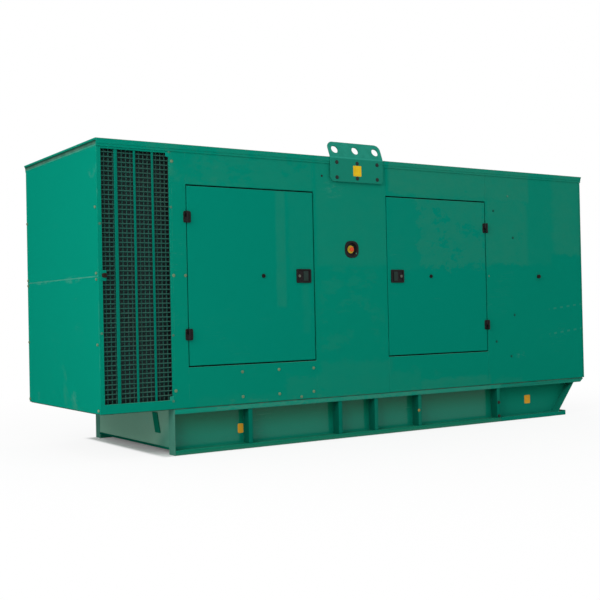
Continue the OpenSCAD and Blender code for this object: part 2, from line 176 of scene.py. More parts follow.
def mitre(outline: Array, weights: Array | float = 1.0) -> Array:
    """The step at each corner that moves every edge inwards by its weight.

    At a corner between edges with inward normals a and b the step s solves s . a = weight a
    and s . b = weight b.

    Args:
        outline: Corners in order, (n, 2).
        weights: One weight per edge, or one for all; edge i runs from corner i to i + 1.

    Returns:
        The steps, (n, 2).
    """
    ahead = np.roll(outline, -1, axis=0) - outline
    (u, v), (next_u, next_v) = outline.T, np.roll(outline, -1, axis=0).T
    area = np.sum(u * next_v - v * next_u)
    normal = np.stack([-ahead[:, 1], ahead[:, 0]], axis=1) * np.sign(area)
    normal /= np.linalg.norm(normal, axis=1, keepdims=True)
    weight = np.broadcast_to(np.asarray(weights, float), len(outline))[:, None]
    before, weight_before = np.roll(normal, 1, axis=0), np.roll(weight, 1, axis=0)
    turn = (before[:, :1] * normal[:, 1:] - before[:, 1:] * normal[:, :1])
    straight = np.abs(turn) < 1e-4
    across = [np.stack([v[:, 1], -v[:, 0]], axis=1) for v in (normal, before)]
    step = (weight_before * across[0] - weight * across[1]) / np.where(straight, 1.0, turn)
    return np.where(straight, normal * weight, step)


def at_depths(flat: Array, depth: Array, closed: bool = False) -> Surface:
    """A surface of rings across and up, (rings, points round, 2), each at its own depth."""
    deep = np.broadcast_to(depth[:, None], flat.shape[:2])
    return loft(np.stack([flat[..., 0], deep, flat[..., 1]], axis=-1), closed)


def plate(outline: Array, stations: Array, weights: Array | float = 1.0) -> Surface:
    """A flat plate: an outline carried along stations of inset and depth.

    Ring i is the outline moved inwards by the station's inset and set at its depth.

    Args:
        outline: Corners across and up, (n, 2).
        stations: Pairs of inset and depth, (m, 2), from one face to the other.
        weights: How much of the inset each edge takes.

    Returns:
        A closed surface with points (across, depth, up).
    """
    flat = outline[None] + stations[:, :1, None] * mitre(outline, weights)[None]
    return at_depths(flat, stations[:, 1])


def ring_plate(outer: Array, inner: Array, stations: Array, weights: Array | float = 1.0) -> Surface:
    """A flat plate with one opening, closed all round.

    The outline carries the stations from its back to its face, and the opening, moved outwards
    by the same insets, carries them from the face to the back.

    Args:
        outer: Outline of the plate, (n, 2).
        inner: Outline of the opening, as many points in the same order.
        stations: Pairs of inset and depth from the face to the back.
        weights: How much of the inset each outer edge takes.

    Returns:
        A closed surface with points (across, depth, up).
    """
    inset, depth = stations[:, :1, None], stations[:, 1]
    rim = outer[None] + inset[::-1] * mitre(outer, weights)[None]
    hole = inner[None] - inset * mitre(inner)[None]
    return at_depths(np.concatenate([rim, hole]), np.concatenate([depth[::-1], depth]), closed=True)


def round_angles(count: int, shift: float = 0.0) -> Array:
    """Even angles round a circle, shifted by a share of their step."""
    return (np.arange(count) + shift) / count * 2 * math.pi


def rays(angle: Array) -> Array:
    """The direction (cos a, sin a) of each angle."""
    return np.stack([np.cos(angle), np.sin(angle)], axis=1)


def swept(section: Array, along: Iterable[float]) -> Surface:
    """A section in Y and Z carried along X, with flat ends."""
    return loft(np.array([np.column_stack([np.full(len(section), x), section]) for x in along]))


def turned(profile: Array, sides: int = 24) -> Surface:
    """Pairs of radius and depth turned about the depth axis: (r cos a, depth, r sin a)."""
    radius, depth = np.asarray(profile, float).T
    return at_depths(radius[:, None, None] * rays(round_angles(sides)), depth)


def bars(starts: Array, ends: Array, radius: float, sides: int = 6) -> Surface:
    """Round bars of one length along X or Z, all joined: centre + radius (cos a, sin a).

    Args:
        starts: Where the bars start, (k, 3).
        ends: Where they end, (k, 3), straight along X or straight along Z.
        radius: The bars' radius.
        sides: Points round a bar.

    Returns:
        One surface that holds all the bars.
    """
    angle = round_angles(sides, 0.5)
    cosine, sine, flat = np.cos(angle), np.sin(angle), 0 * angle
    upright = starts[0][0] == ends[0][0]
    section = np.stack((cosine, sine, flat) if upright else (flat, sine, cosine), axis=1) * radius
    return loft(np.stack([starts[0] + section, ends[0] + section])).at(starts - starts[0])


def rectangle(u0: float, v0: float, u1: float, v1: float) -> Array:
    """Corners of a rectangle; its edges run bottom, right, top, left."""
    return np.array([[u0, v0], [u1, v0], [u1, v1], [u0, v1]])


def about(u: float, v: float, wide: float, tall: float) -> Array:
    """Corners of a rectangle about its middle."""
    return rectangle(u - wide / 2, v - tall / 2, u + wide / 2, v + tall / 2)


def soft(bottom: float = 0.02, right: float = 0.02, top: float = 0.02, left: float = 0.02) -> Array:
    """How much of the rounding each edge of a rectangle takes; an edge that runs on takes little."""
    return np.array([bottom, right, top, left])


def rounded(outline: Array, radius: Array | float, steps: int = 5) -> Array:
    """An outline with its corners rounded.

    Each corner p becomes the curve (1-t)^2 a + 2t(1-t) p + t^2 b, where a and b lie one tangent
    length, radius / tan(half angle), back along its two edges.

    Args:
        outline: Sharp corners, (n, 2).
        radius: One radius per corner, or one for all.
        steps: Points on each rounded corner.

    Returns:
        The rounded outline, (n * steps, 2).
    """
    back = np.roll(outline, 1, axis=0) - outline
    ahead = np.roll(outline, -1, axis=0) - outline
    back /= np.linalg.norm(back, axis=1, keepdims=True)
    ahead /= np.linalg.norm(ahead, axis=1, keepdims=True)
    half = np.arccos(np.clip(np.sum(back * ahead, axis=1), -1, 1)) / 2
    tangent = (np.broadcast_to(radius, len(outline)) / np.tan(half))[:, None, None]
    t = np.linspace(0, 1, steps)[None, :, None]
    p = outline[:, None]
    a, b = p + back[:, None] * tangent, p + ahead[:, None] * tangent
    return ((1 - t) ** 2 * a + 2 * t * (1 - t) * p + t**2 * b).reshape(-1, 2)


def box_reach(angle: Array, right: float, top: float, left: float, bottom: float) -> Array:
    """How far a ray goes before it leaves a rectangle about the origin.

    The reach is the least of side / cos a and side / sin a over the sides that the ray faces.

    Args:
        angle: The rays' angles.
        right: Distance to the right side.
        top: Distance to the top side.
        left: Distance to the left side.
        bottom: Distance to the bottom side.

    Returns:
        The reach of each ray.
    """
    cosine, sine = np.cos(angle), np.sin(angle)
    sideways = np.where(cosine > 0, right, left) / np.maximum(np.abs(cosine), 1e-9)
    upright = np.where(sine > 0, top, bottom) / np.maximum(np.abs(sine), 1e-9)
    return np.minimum(sideways, upright)


def fold(radius: float, depth: float = 0.0, turn: int = 1, steps: int = 4) -> Array:
    """Stations of a rounded edge, from the flat face to the side.

    Inset r (1 - cos t) and depth r (1 - sin t), with one ring more on the flat beside it so
    that the flat shades flat.

    Args:
        radius: The edge's radius.
        depth: The face's depth.
        turn: 1 for a side that runs deeper, -1 for one that runs shallower.
        steps: Number of rings on the arc.

    Returns:
        Pairs of inset and depth, (steps + 2, 2).
    """
    t = np.linspace(math.pi / 2, 0, steps)
    arc = np.stack([radius * (1 - np.cos(t)), depth + turn * radius * (1 - np.sin(t))], axis=1)
    flat, side = [[radius * 1.6, depth]], [[0.0, depth + turn * radius * 1.6]]
    return np.concatenate([flat, arc, side])


def folds(front: float, back: float, radius: float, inner: float | None = None, steps: int = 4) -> Array:
    """Stations between two depths with rounded edges; the inner face's radius may be another."""
    return np.concatenate([fold(radius, front, steps=steps), fold(inner or radius, back, -1)[::-1]])


def slab(outline: Array, front: float, back: float, radius: float, weights: Array | float = 1.0) -> Surface:
    """A plate between two depths; each edge takes its weight of the rounding."""
    return plate(outline, folds(front, back, radius), weights)


LEAST_RADIUS = 0.0008


def tray(rect: Array, radius: float, stations: Array) -> Surface:
    """A rounded rectangle carried along stations of inset and depth, with true corners.

    Each ring is the rectangle drawn in by its inset; the corners' radius shrinks by as much.

    Args:
        rect: Sharp corners of the outermost outline.
        radius: Radius of its corners.
        stations: Pairs of inset and depth, (m, 2).

    Returns:
        A closed surface with points (across, depth, up).
    """
    inner = mitre(rect)
    flat = [rounded(rect + inset * inner, max(radius - inset, LEAST_RADIUS)) for inset, _ in stations]
    return at_depths(np.array(flat), stations[:, 1])


def tablet(rect: Array, radius: float, front: float, back: float, edge: float) -> Surface:
    """A rounded plate with a soft front edge, from its back to its front."""
    return tray(rect, radius, np.concatenate([fold(edge, front), [[0.0, back]]]))


def thickened(points: Array, quads: Array, place: Callable[[Array, float], Array], t: float) -> Surface:
    """A flat sheet of four-sided faces given its thickness and bent.

    Both faces use the same corners, and each edge that only one face has gets a wall.

    Args:
        points: Flat corners, (n, 2).
        quads: Faces, (m, 4), all turning the same way.
        place: Puts flat corners, at a height above the inner face, into space.
        t: The thickness.

    Returns:
        A closed surface.
    """
    count = len(points)
    edges = np.stack([quads, np.roll(quads, -1, axis=1)], axis=-1).reshape(-1, 2)
    key = np.sort(edges, axis=1) @ np.array([count, 1])
    _, first, uses = np.unique(key, return_index=True, return_counts=True)
    a, b = edges[first[uses == 1]].T
    walls = np.stack([b, a, a + count, b + count], axis=1)
    faces = np.concatenate([quads[:, ::-1], quads + count, walls[:, ::-1]])
    return Surface(np.concatenate([place(points, 0.0), place(points, t)]), faces)


def on_side(side: Side) -> Place:
    """Places points (across, depth, up) on a long wall: y = side (wall - depth)."""
    return lambda p: np.stack([p[:, 0], side.value * (WALL_Y - p[:, 1]), p[:, 2]], axis=1)


def on_end(end: End) -> Place:
    """Places points (across, depth, up) on a short wall: x = end (wall - depth)."""
    return lambda p: np.stack([end.value * (WALL_X - p[:, 1]), p[:, 0], p[:, 2]], axis=1)


def on_top(p: Array) -> Array:
    """Places points (across, depth, up) flat on the roof: depth runs down from its top face."""
    return np.stack([p[:, 0], p[:, 2], ROOF_HIGH[2] - p[:, 1]], axis=1)


def flipped(side: Side) -> Place:
    """Turns points of the front over to the given side."""
    return lambda p: p * np.array([1.0, -side.value, 1.0])


# ---- Materials ----


class Sheet:
    """Places shader nodes on a node tree and wires them."""

    def __init__(self, tree: bpy.types.NodeTree) -> None:
        """Starts on an empty tree."""
        self.tree = tree
        tree.nodes.clear()

    def add(self, kind: str, settings: dict | None = None, **inputs: object) -> Node:
        """Adds a node, sets it up and wires it.

        Args:
            kind: The node's type, without ShaderNode.
            settings: Properties of the node.
            **inputs: Values or sockets by input name, with _ for a space, or i0, i1 by place.

        Returns:
            The node.
        """
        node = self.tree.nodes.new("ShaderNode" + kind)
        for name, value in (settings or {}).items():
            setattr(node, name, value)
        for name, value in inputs.items():
            key = int(name[1:]) if name[1:].isdigit() else name.replace("_", " ")
            socket = node.inputs[key]
            if isinstance(value, Socket):
                self.tree.links.new(value, socket)
            elif socket.type == "RGBA" and len(value) == 3:
                socket.default_value = (*value, 1.0)
            else:
                socket.default_value = value
        return node

    def math(self, kind: str, a: object, b: object = 0.0, c: object = 0.5, clamp: bool = False) -> Socket:
        """The result of a Math node."""
        return self.add("Math", {"operation": kind, "use_clamp": clamp}, i0=a, i1=b, i2=c).outputs[0]

    def chain(self, kind: str, first: object, *rest: object, clamp: bool = False) -> Socket:
        """Several values joined in order by one operation; only the end result is clamped."""
        for value in rest[:-1]:
            first = self.math(kind, first, value)
        return self.math(kind, first, rest[-1], clamp=clamp)

    def times(self, *values: object, clamp: bool = False) -> Socket:
        """The product of the values."""
        return self.chain("MULTIPLY", *values, clamp=clamp)

    def most(self, *values: object) -> Socket:
        """The greatest of the values."""
        return self.chain("MAXIMUM", *values)

    def minus(self, a: object, b: object) -> Socket:
        """The first value less the second."""
        return self.math("SUBTRACT", a, b)

    def size(self, value: object) -> Socket:
        """The value without its sign."""
        return self.math("ABSOLUTE", value)

    def mix(self, mask: object, a: object, b: object) -> Socket:
        """Colour a where the mask is 0 and b where it is 1."""
        return self.add("Mix", {"data_type": "RGBA"}, i0=mask, i6=a, i7=b).outputs[2]

    def noise(self, where: Socket, scale: object, detail: float = 3.0, rough: float = 0.5) -> Socket:
        """Noise from 0 to 1 at a place."""
        inputs = {"Vector": where, "Scale": scale, "Detail": detail, "Roughness": rough}
        return self.add("TexNoise", None, **inputs).outputs[0]

    def ramp(self, value: Socket, low: object, high: object, start: float = 0.0, end: float = 1.0) -> Socket:
        """A value eased from start, at the low one, to end, at the high one."""
        settings = {"interpolation_type": "SMOOTHSTEP"}
        return self.add("MapRange", settings, i0=value, i1=low, i2=high, i3=start, i4=end).outputs[0]

    def fade(self, value: object, low: object, high: object) -> Socket:
        """1 up to the low value, eased down to 0 at the high one."""
        return self.ramp(value, low, high, 1.0, 0.0)

    def place(self, scale: Colour = (1, 1, 1), turn: Colour = (0, 0, 0), shift: Colour = (0, 0, 0)) -> Socket:
        """Object coordinates, shifted, turned and stretched."""
        where = self.add("TexCoord").outputs["Object"]
        return self.add("Mapping", None, Vector=where, Location=shift, Rotation=turn, Scale=scale).outputs[0]

    def normal(self) -> Socket:
        """The surface's normal."""
        return self.add("NewGeometry").outputs["Normal"]

    def split(self, vector: Socket) -> list[Socket]:
        """The three parts of a vector."""
        return list(self.add("SeparateXYZ", None, Vector=vector).outputs)


def settled_dust(sheet: Sheet, entry: Node) -> list[Socket]:
    """Dust: thick on faces that look up and near the ground, broken up by noise."""
    up, height = sheet.split(sheet.normal())[2], sheet.split(sheet.place())[2]
    flat = sheet.times(sheet.ramp(up, 0.35, 1.0), entry.outputs["On Top"])
    low = sheet.times(sheet.fade(height, 0.0, entry.outputs["Height"]), entry.outputs["Low"])
    cloud, grit = sheet.noise(sheet.place(), 2.3, 6.0, 0.62), sheet.noise(sheet.place(), 90.0, 2.0)
    patchy = sheet.times(sheet.ramp(cloud, 0.32, 0.68, 0.45, 1.1), sheet.ramp(grit, 0.2, 0.8, 0.75, 1.1))
    return [sheet.times(sheet.math("ADD", flat, low), patchy, clamp=True)]


def rubbed_edges(sheet: Sheet, entry: Node) -> list[Socket]:
    """Wear: where a rounded normal turns away from the true one, broken up by noise."""
    soft = sheet.add("Bevel", {"samples": 4}, Radius=entry.outputs["Reach"]).outputs[0]
    same = sheet.add("VectorMath", {"operation": "DOT_PRODUCT"}, i0=soft, i1=sheet.normal())
    edge = sheet.ramp(sheet.minus(1.0, same.outputs["Value"]), 0.004, 0.16)
    broken = sheet.ramp(sheet.noise(sheet.place(), 14.0, 5.0, 0.65), 0.46, 0.62)
    return [sheet.times(edge, broken, entry.outputs["Amount"], clamp=True)]


def faint_smudges(sheet: Sheet, entry: Node) -> list[Socket]:
    """Smudges: cloudy patches with rather sharp rims, warped so that they look wiped."""
    where, pull = sheet.place(), (0.35, 0.35, 0.35)
    warp = sheet.add("TexNoise", None, Vector=where, Scale=2.2, Detail=3.0).outputs["Color"]
    moved = sheet.add("VectorMath", {"operation": "MULTIPLY_ADD"}, i0=warp, i1=pull, i2=where).outputs[0]
    cloud = sheet.noise(moved, entry.outputs["Scale"], 5.0, 0.6)
    floor = sheet.minus(0.72, sheet.times(entry.outputs["Cover"], 0.4))
    return [sheet.ramp(cloud, floor, sheet.math("ADD", floor, 0.09)), cloud]


@dataclass(frozen=True)
class HazeArea:
    """One area of painted reflection on a long wall: its edges along x and z, how ragged and how broken it
    is.
    """

    left: float
    right: float
    low: float
    high: float
    strength: float
    ragged: float = 0.08
    broken: float = 0.30
    soft: float = 0.04


# Each row: left, right, low, high, strength, and where they differ from the usual, ragged, broken, soft.
REFLECTION_AREAS = [HazeArea(*area) for area in (
    (-1.79, -0.66, 2.04, 2.40, 0.38, 0.08, 0.46),
    (-1.05, -0.93, 1.10, 2.04, 0.50, 0.02, 0.30, 0.03),
    (-0.93, -0.66, 1.39, 2.04, 0.20),
    (-0.81, -0.70, 0.88, 1.42, 0.24),
    (-0.66, 0.10, 1.43, 2.40, 0.38, 0.03),
    (-0.64, 0.07, 0.72, 1.43, 0.30, 0.08, 0.54),
    (-0.64, 0.14, 0.36, 0.64, 0.34, 0.20),
    (-0.98, 0.46, 0.36, 0.53, 0.34, 0.30),
    (-1.80, -0.95, 0.30, 0.42, 0.16),
    (0.42, 1.30, 0.30, 0.44, 0.62),
    (1.30, 1.70, 0.30, 0.40, 0.34),
    (0.10, 1.84, 2.06, 2.40, 0.95),
    (0.10, 0.50, 1.41, 2.06, 0.16, 0.08, 0.34),
    (0.42, 1.27, 1.42, 2.06, 0.70, 0.44, 0.42),
    (1.22, 1.84, 1.46, 2.06, 0.72, 0.16, 0.36, 0.08),
    (1.78, 2.14, 1.46, 2.40, 0.22, 0.12),
    (2.08, 2.60, 1.56, 2.40, 0.72, 0.12, 0.30, 0.10),
    (-1.60, 0.62, 0.30, 0.348, 0.90, 0.30),
)]


def bright_haze(sheet: Sheet, entry: Node) -> list[Socket]:
    """Painted reflection: the paint made paler over a few areas of the long walls, as if it mirrored the pale
    surroundings, each area with ragged rims.
    """
    x, _, z = sheet.split(sheet.place())
    grain = sheet.noise(sheet.place(scale=(1.0, 1.0, 1.5)), 11.0, 7.0, 0.72)
    sway = sheet.noise(sheet.place(scale=(1.0, 1.0, 1.4), shift=(3.0, 0.0, 1.0)), 6.5, 7.0, 0.72)
    holes = sheet.noise(sheet.place(scale=(1.0, 1.0, 1.7), shift=(5.0, 0.0, 2.0)), 4.6, 7.0, 0.7)
    level_rim, hole_rim, least_ragged = 0.02, 0.04, 0.06
    total = 0.0
    for area in REFLECTION_AREAS:
        rag, tall_rag = area.ragged, area.ragged + least_ragged
        across = sheet.math("MULTIPLY_ADD", sway, rag, sheet.minus(x, rag / 2))
        up = sheet.math("MULTIPLY_ADD", grain, tall_rag, sheet.minus(z, rag / 2 + least_ragged / 2))
        total = sheet.most(total, sheet.times(
            sheet.ramp(across, area.left, area.left + area.soft),
            sheet.fade(across, area.right - area.soft, area.right),
            sheet.ramp(up, area.low - level_rim, area.low + level_rim),
            sheet.ramp(up, area.high - level_rim, area.high + level_rim, area.strength, 0.0),
            sheet.ramp(holes, area.broken - hole_rim, area.broken + hole_rim)))
    return [sheet.times(total, sheet.ramp(sway, 0.34, 0.64, 0.68, 1.14), entry.outputs["Amount"], clamp=True)]


def leaning_film(sheet: Sheet, entry: Node) -> list[Socket]:
    """Painted light: faces that lean back a little painted paler, as if lit from above, with a painted
    highlight along the line where the lean begins.
    """
    lean = sheet.split(sheet.normal())[2]
    broken_up = sheet.ramp(sheet.noise(sheet.place(), 17.0, 4.0, 0.65), 0.38, 0.62)
    film = sheet.times(sheet.ramp(lean, 0.05, 0.30), sheet.math("MULTIPLY_ADD", broken_up, 0.4, 0.5))
    bend_highlight = sheet.times(sheet.ramp(lean, 0.03, 0.10), sheet.fade(lean, 0.16, 0.30))
    return [sheet.times(sheet.most(film, sheet.times(bend_highlight, 1.3)), entry.outputs["Amount"], clamp=True)]


# Scuffs as (middle along the wall, middle's height, half width, half height).
SCUFFED_SPOTS = ((-0.48, 2.06, 0.13, 0.09), (0.64, 1.145, 0.055, 0.014), (1.67, 0.60, 0.08, 0.06))
END_SCUFFS = (
    (-0.69, 2.11, 0.09, 0.06), (-0.27, 1.335, 0.20, 0.035), (-0.26, 0.43, 0.11, 0.07),
    (0.53, 0.41, 0.07, 0.04), (0.40, 1.335, 0.22, 0.020), (-0.58, 2.292, 0.30, 0.022),
    (0.20, 2.292, 0.50, 0.014))
# Where the left end wall begins, where its corners do, and how its chalk thickens upwards.
END_X, CORNER_Y, CORNER_Z = (-2.543, -2.535), (0.750, 0.766), (1.65, 2.05)
# Rows of dashes on the right panel: heights at x 2.45, start, slope, beat and half thickness.
DASH_ROWS, DASH_MIDDLE, DASH_X, DASH_SLOPE, DASH_BEAT = (0.83, 1.07), 2.45, (2.04, 2.10), 0.10, 68.0
DASH_RIM = (0.005, 0.013)


def rubbed_spots(sheet: Sheet, entry: Node) -> list[Socket]:
    """Scuffs: oval places with level smears, rows of dashes, and chalky left end corners."""
    x, y, z = sheet.split(sheet.place())
    smear = sheet.noise(sheet.place(scale=(1.0, 1.0, 2.6), turn=(0.0, 0.5, 0.0)), 13.0, 5.0, 0.7)
    chips = sheet.noise(sheet.place(scale=(1.0, 1.0, 0.5)), 16.0, 5.0, 0.7)
    patches = sheet.noise(sheet.place(shift=(0.0, 1.3, 0.0)), 11.0, 5.0, 0.7)
    left_end = sheet.fade(x, *END_X)
    on_end_wall = sheet.times(left_end, sheet.ramp(patches, 0.44, 0.62))
    total = 0.0
    smeared = sheet.ramp(smear, 0.48, 0.68)
    for across, ovals, here in ((x, SCUFFED_SPOTS, smeared), (y, END_SCUFFS, on_end_wall)):
        for mid, height, wide, tall in ovals:
            u = sheet.math("DIVIDE", sheet.minus(across, mid), wide)
            v = sheet.math("DIVIDE", sheet.minus(z, height), tall)
            far = sheet.math("ADD", sheet.times(u, u), sheet.times(v, v))
            total = sheet.most(total, sheet.times(sheet.fade(far, 0.2, 1.0), here))
    beats = sheet.ramp(sheet.math("SINE", sheet.times(x, DASH_BEAT)), 0.0, 0.4)
    dashes = sheet.times(beats, sheet.ramp(x, *DASH_X))
    for height in DASH_ROWS:
        rising = sheet.math("MULTIPLY_ADD", x, DASH_SLOPE, height - DASH_SLOPE * DASH_MIDDLE)
        row = sheet.ramp(sheet.size(sheet.minus(z, rising)), *DASH_RIM, 0.7, 0.0)
        total = sheet.most(total, sheet.times(row, dashes))
    at_corner, high_up = sheet.ramp(sheet.size(y), *CORNER_Y), sheet.ramp(z, *CORNER_Z, 0.25, 1.0)
    corner = sheet.times(at_corner, left_end, high_up, sheet.ramp(chips, 0.50, 0.60))
    both = sheet.most(total, corner)
    return [sheet.times(both, entry.outputs["Amount"], clamp=True)]


# Where the base's webs stand, where its flanges' faces begin, and the heights of its darker low band, of
# the lower flange's top and edge, of the webs' foot and of their rise.
WEB_Y, FACE_Y, LOW_Z, FLANGE_Z = (0.690, 0.752), (0.764, 0.7665), (0.030, 0.060), (0.030, 0.040)
EDGE_Z, FOOT_Z, RISE_Z, WEB_Z = (0.0, 0.034), (0.045, 0.070), (0.07, 0.29), (0.034, 0.040)


def grime_in_recess(sheet: Sheet, entry: Node) -> list[Socket]:
    """Darkening on the set-back webs and low down, partly grime and partly painted shade, and apart from it
    painted shade on the sides of the stiffeners.

    The shine is full on the webs, fades out at their foot, and comes back towards the lower
    edge of the bottom flange. The rise is 0 at the webs' foot and 1 at their top.
    """
    _, y, z = sheet.split(sheet.place())
    off_middle, turned_side = sheet.size(y), sheet.size(sheet.split(sheet.normal())[0])
    deep, low = sheet.fade(off_middle, *WEB_Y), sheet.fade(z, *LOW_Z)
    behind_flanges = sheet.times(sheet.fade(off_middle, *FACE_Y), sheet.ramp(z, *FLANGE_Z))
    sides = sheet.times(sheet.ramp(turned_side, 0.3, 0.8), behind_flanges)
    web_shine = sheet.times(deep, sheet.ramp(z, *FOOT_Z))
    shine = sheet.most(web_shine, sheet.times(low, sheet.ramp(z, *EDGE_Z, 1.2, 0.12)))
    return [sheet.most(deep, low), sides, shine, sheet.ramp(z, *RISE_Z), sheet.ramp(z, *WEB_Z)]


def splashed_corner(sheet: Sheet, entry: Node) -> list[Socket]:
    """Painted shade: a darker patch on the front lower corner, rising towards the front rail."""
    _, y, z = sheet.split(sheet.place())
    climb = sheet.minus(sheet.times(y, -1.0), z)
    cloud = sheet.noise(sheet.place(), 5.0, 4.0, 0.6)
    return [sheet.ramp(sheet.math("MULTIPLY_ADD", cloud, 0.06, climb), 0.34, 0.54)]


def fine_scratches(sheet: Sheet, entry: Node) -> list[Socket]:
    """Scratches: two sets of long thin noise, kept only on their crests and inside patches."""
    sets = []
    for turn, shift in ((0.9, 0.0), (-0.5, 3.7)):
        where = sheet.place(scale=(1.0, 1.0, 16.0), turn=(0.0, turn, 0.0), shift=(shift, 0.0, shift))
        crest = sheet.noise(where, 3.0, 1.0)
        sets.append(sheet.fade(sheet.size(sheet.minus(crest, 0.5)), 0.0, 0.006))
    patch = sheet.ramp(sheet.noise(sheet.place(shift=(7.0, 2.0, 1.0)), 1.7, 3.0), 0.58, 0.66)
    return [sheet.times(sheet.most(*sets), patch, entry.outputs["Amount"], clamp=True)]


def orange_peel(sheet: Sheet, entry: Node) -> list[Socket]:
    """Orange peel: small round lumps of sprayed paint over slow waves of rolled sheet."""
    lumps = sheet.noise(sheet.place(), entry.outputs["Scale"], 2.0, 0.45)
    waves = sheet.noise(sheet.place(), 3.1, 1.0)
    return [sheet.math("ADD", sheet.times(lumps, 0.15), sheet.times(waves, entry.outputs["Waves"]))]


Effect = Callable[[Sheet, Node], list[Socket]]
AMOUNT = {"Amount": 0.5}
# Each effect's number inputs with their usual values, and its outputs.
EFFECTS: dict[Effect, tuple[dict[str, float], tuple[str, ...]]] = {
    settled_dust: ({"On Top": 0.8, "Low": 0.3, "Height": 0.6}, ("Mask",)),
    rubbed_edges: ({"Reach": 0.003, **AMOUNT}, ("Mask",)),
    faint_smudges: ({"Scale": 1.1, "Cover": 0.5}, ("Mask", "Cloud")),
    bright_haze: (AMOUNT, ("Mask",)),
    leaning_film: (AMOUNT, ("Mask",)),
    rubbed_spots: (AMOUNT, ("Mask",)),
    grime_in_recess: ({}, ("Mask", "Sides", "Shine", "Rise", "Web")),
    splashed_corner: ({}, ("Mask",)),
    fine_scratches: (AMOUNT, ("Mask",)),
    orange_peel: ({"Scale": 260.0, "Waves": 0.6}, ("Height",)),
}


def shared(effect: Effect) -> bpy.types.NodeTree:
    """An effect's node group, made once.

    Args:
        effect: Called with the group's sheet and its input node; gives one socket per output.

    Returns:
        The group.
    """
    name = effect.__name__
    if name in bpy.data.node_groups:
        return bpy.data.node_groups[name]
    tree = bpy.data.node_groups.new(name, "ShaderNodeTree")
    inputs, outputs = EFFECTS[effect]
    for key, value in inputs.items():
        tree.interface.new_socket(key, in_out="INPUT", socket_type="NodeSocketFloat").default_value = value
    for key in outputs:
        tree.interface.new_socket(key, in_out="OUTPUT", socket_type="NodeSocketFloat")
    sheet = Sheet(tree)
    entry, leave = tree.nodes.new("NodeGroupInput"), tree.nodes.new("NodeGroupOutput")
    for socket, result in zip(leave.inputs, effect(sheet, entry)):
        tree.links.new(result, socket)
    return tree


def use(sheet: Sheet, effect: Effect, **values: float) -> Node:
    """Places a shared effect on a material's sheet.

    Args:
        sheet: The material's sheet.
        effect: The effect.
        **values: Its inputs, with _ for a space.

    Returns:
        The group node.
    """
    group = sheet.add("Group", {"node_tree": shared(effect)})
    for key, value in values.items():
        group.inputs[key.replace("_", " ")].default_value = value
    return group


DUST: Colour = (0.30, 0.27, 0.20)
LEAN_LIGHT: Colour = (0.024, 0.298, 0.220)
SCUFF: Colour = (0.050, 0.235, 0.170)
SCRATCH: Colour = (0.10, 0.26, 0.19)
WORN: Colour = (0.10, 0.30, 0.22)


@dataclass(frozen=True)
class Finish:
    """A plain finish: one colour broken up by noise, with a fine bump."""

    name: str
    colour: Colour
    other: Colour
    roughness: float = 0.5
    metallic: float = 0.0
    specular: float = 0.5
    grain: float = 120.0
    bump: float = 0.0001
    dust: float = 0.02

    def material(self) -> bpy.types.Material:
        """The finish's material, made on first use."""
        found = bpy.data.materials.get(self.name)
        if found:
            return found
        material = bpy.data.materials.new(self.name)
        material.use_nodes = True
        self.dress(Sheet(material.node_tree))
        return material

    def shader(self, sheet: Sheet, colour: Socket, rough: Socket, height: Socket, coat: object = 0.0) -> None:
        """Ends the sheet with its surface shader.

        Args:
            sheet: The material's sheet.
            colour: Socket of the base colour.
            rough: Socket of the roughness.
            height: Socket of the bump's height.
            coat: Weight of the clear coat, or its socket.
        """
        bump = sheet.add("Bump", None, Height=height, Distance=self.bump, Strength=1.0)
        surface = sheet.add(
            "BsdfPrincipled", None, Base_Color=colour, Roughness=rough, Metallic=self.metallic,
            Normal=bump.outputs[0], Specular_IOR_Level=self.specular, Coat_Weight=coat, Coat_Roughness=0.12)
        sheet.add("OutputMaterial", None, Surface=surface.outputs[0])

    def dress(self, sheet: Sheet) -> None:
        """Mottles the colour, lays a little dust on top and bumps the surface."""
        grain = sheet.noise(sheet.place(), self.grain)
        cloud = sheet.noise(sheet.place(), 9.0)
        colour = sheet.mix(sheet.ramp(cloud, 0.3, 0.7), self.colour, self.other)
        dust = use(sheet, settled_dust, On_Top=self.dust, Low=self.dust * 0.5).outputs[0]
        low, high = self.roughness - 0.06, min(self.roughness + 0.1, 1.0)
        self.shader(sheet, sheet.mix(dust, colour, DUST), sheet.ramp(cloud, 0.3, 0.7, low, high), grain)


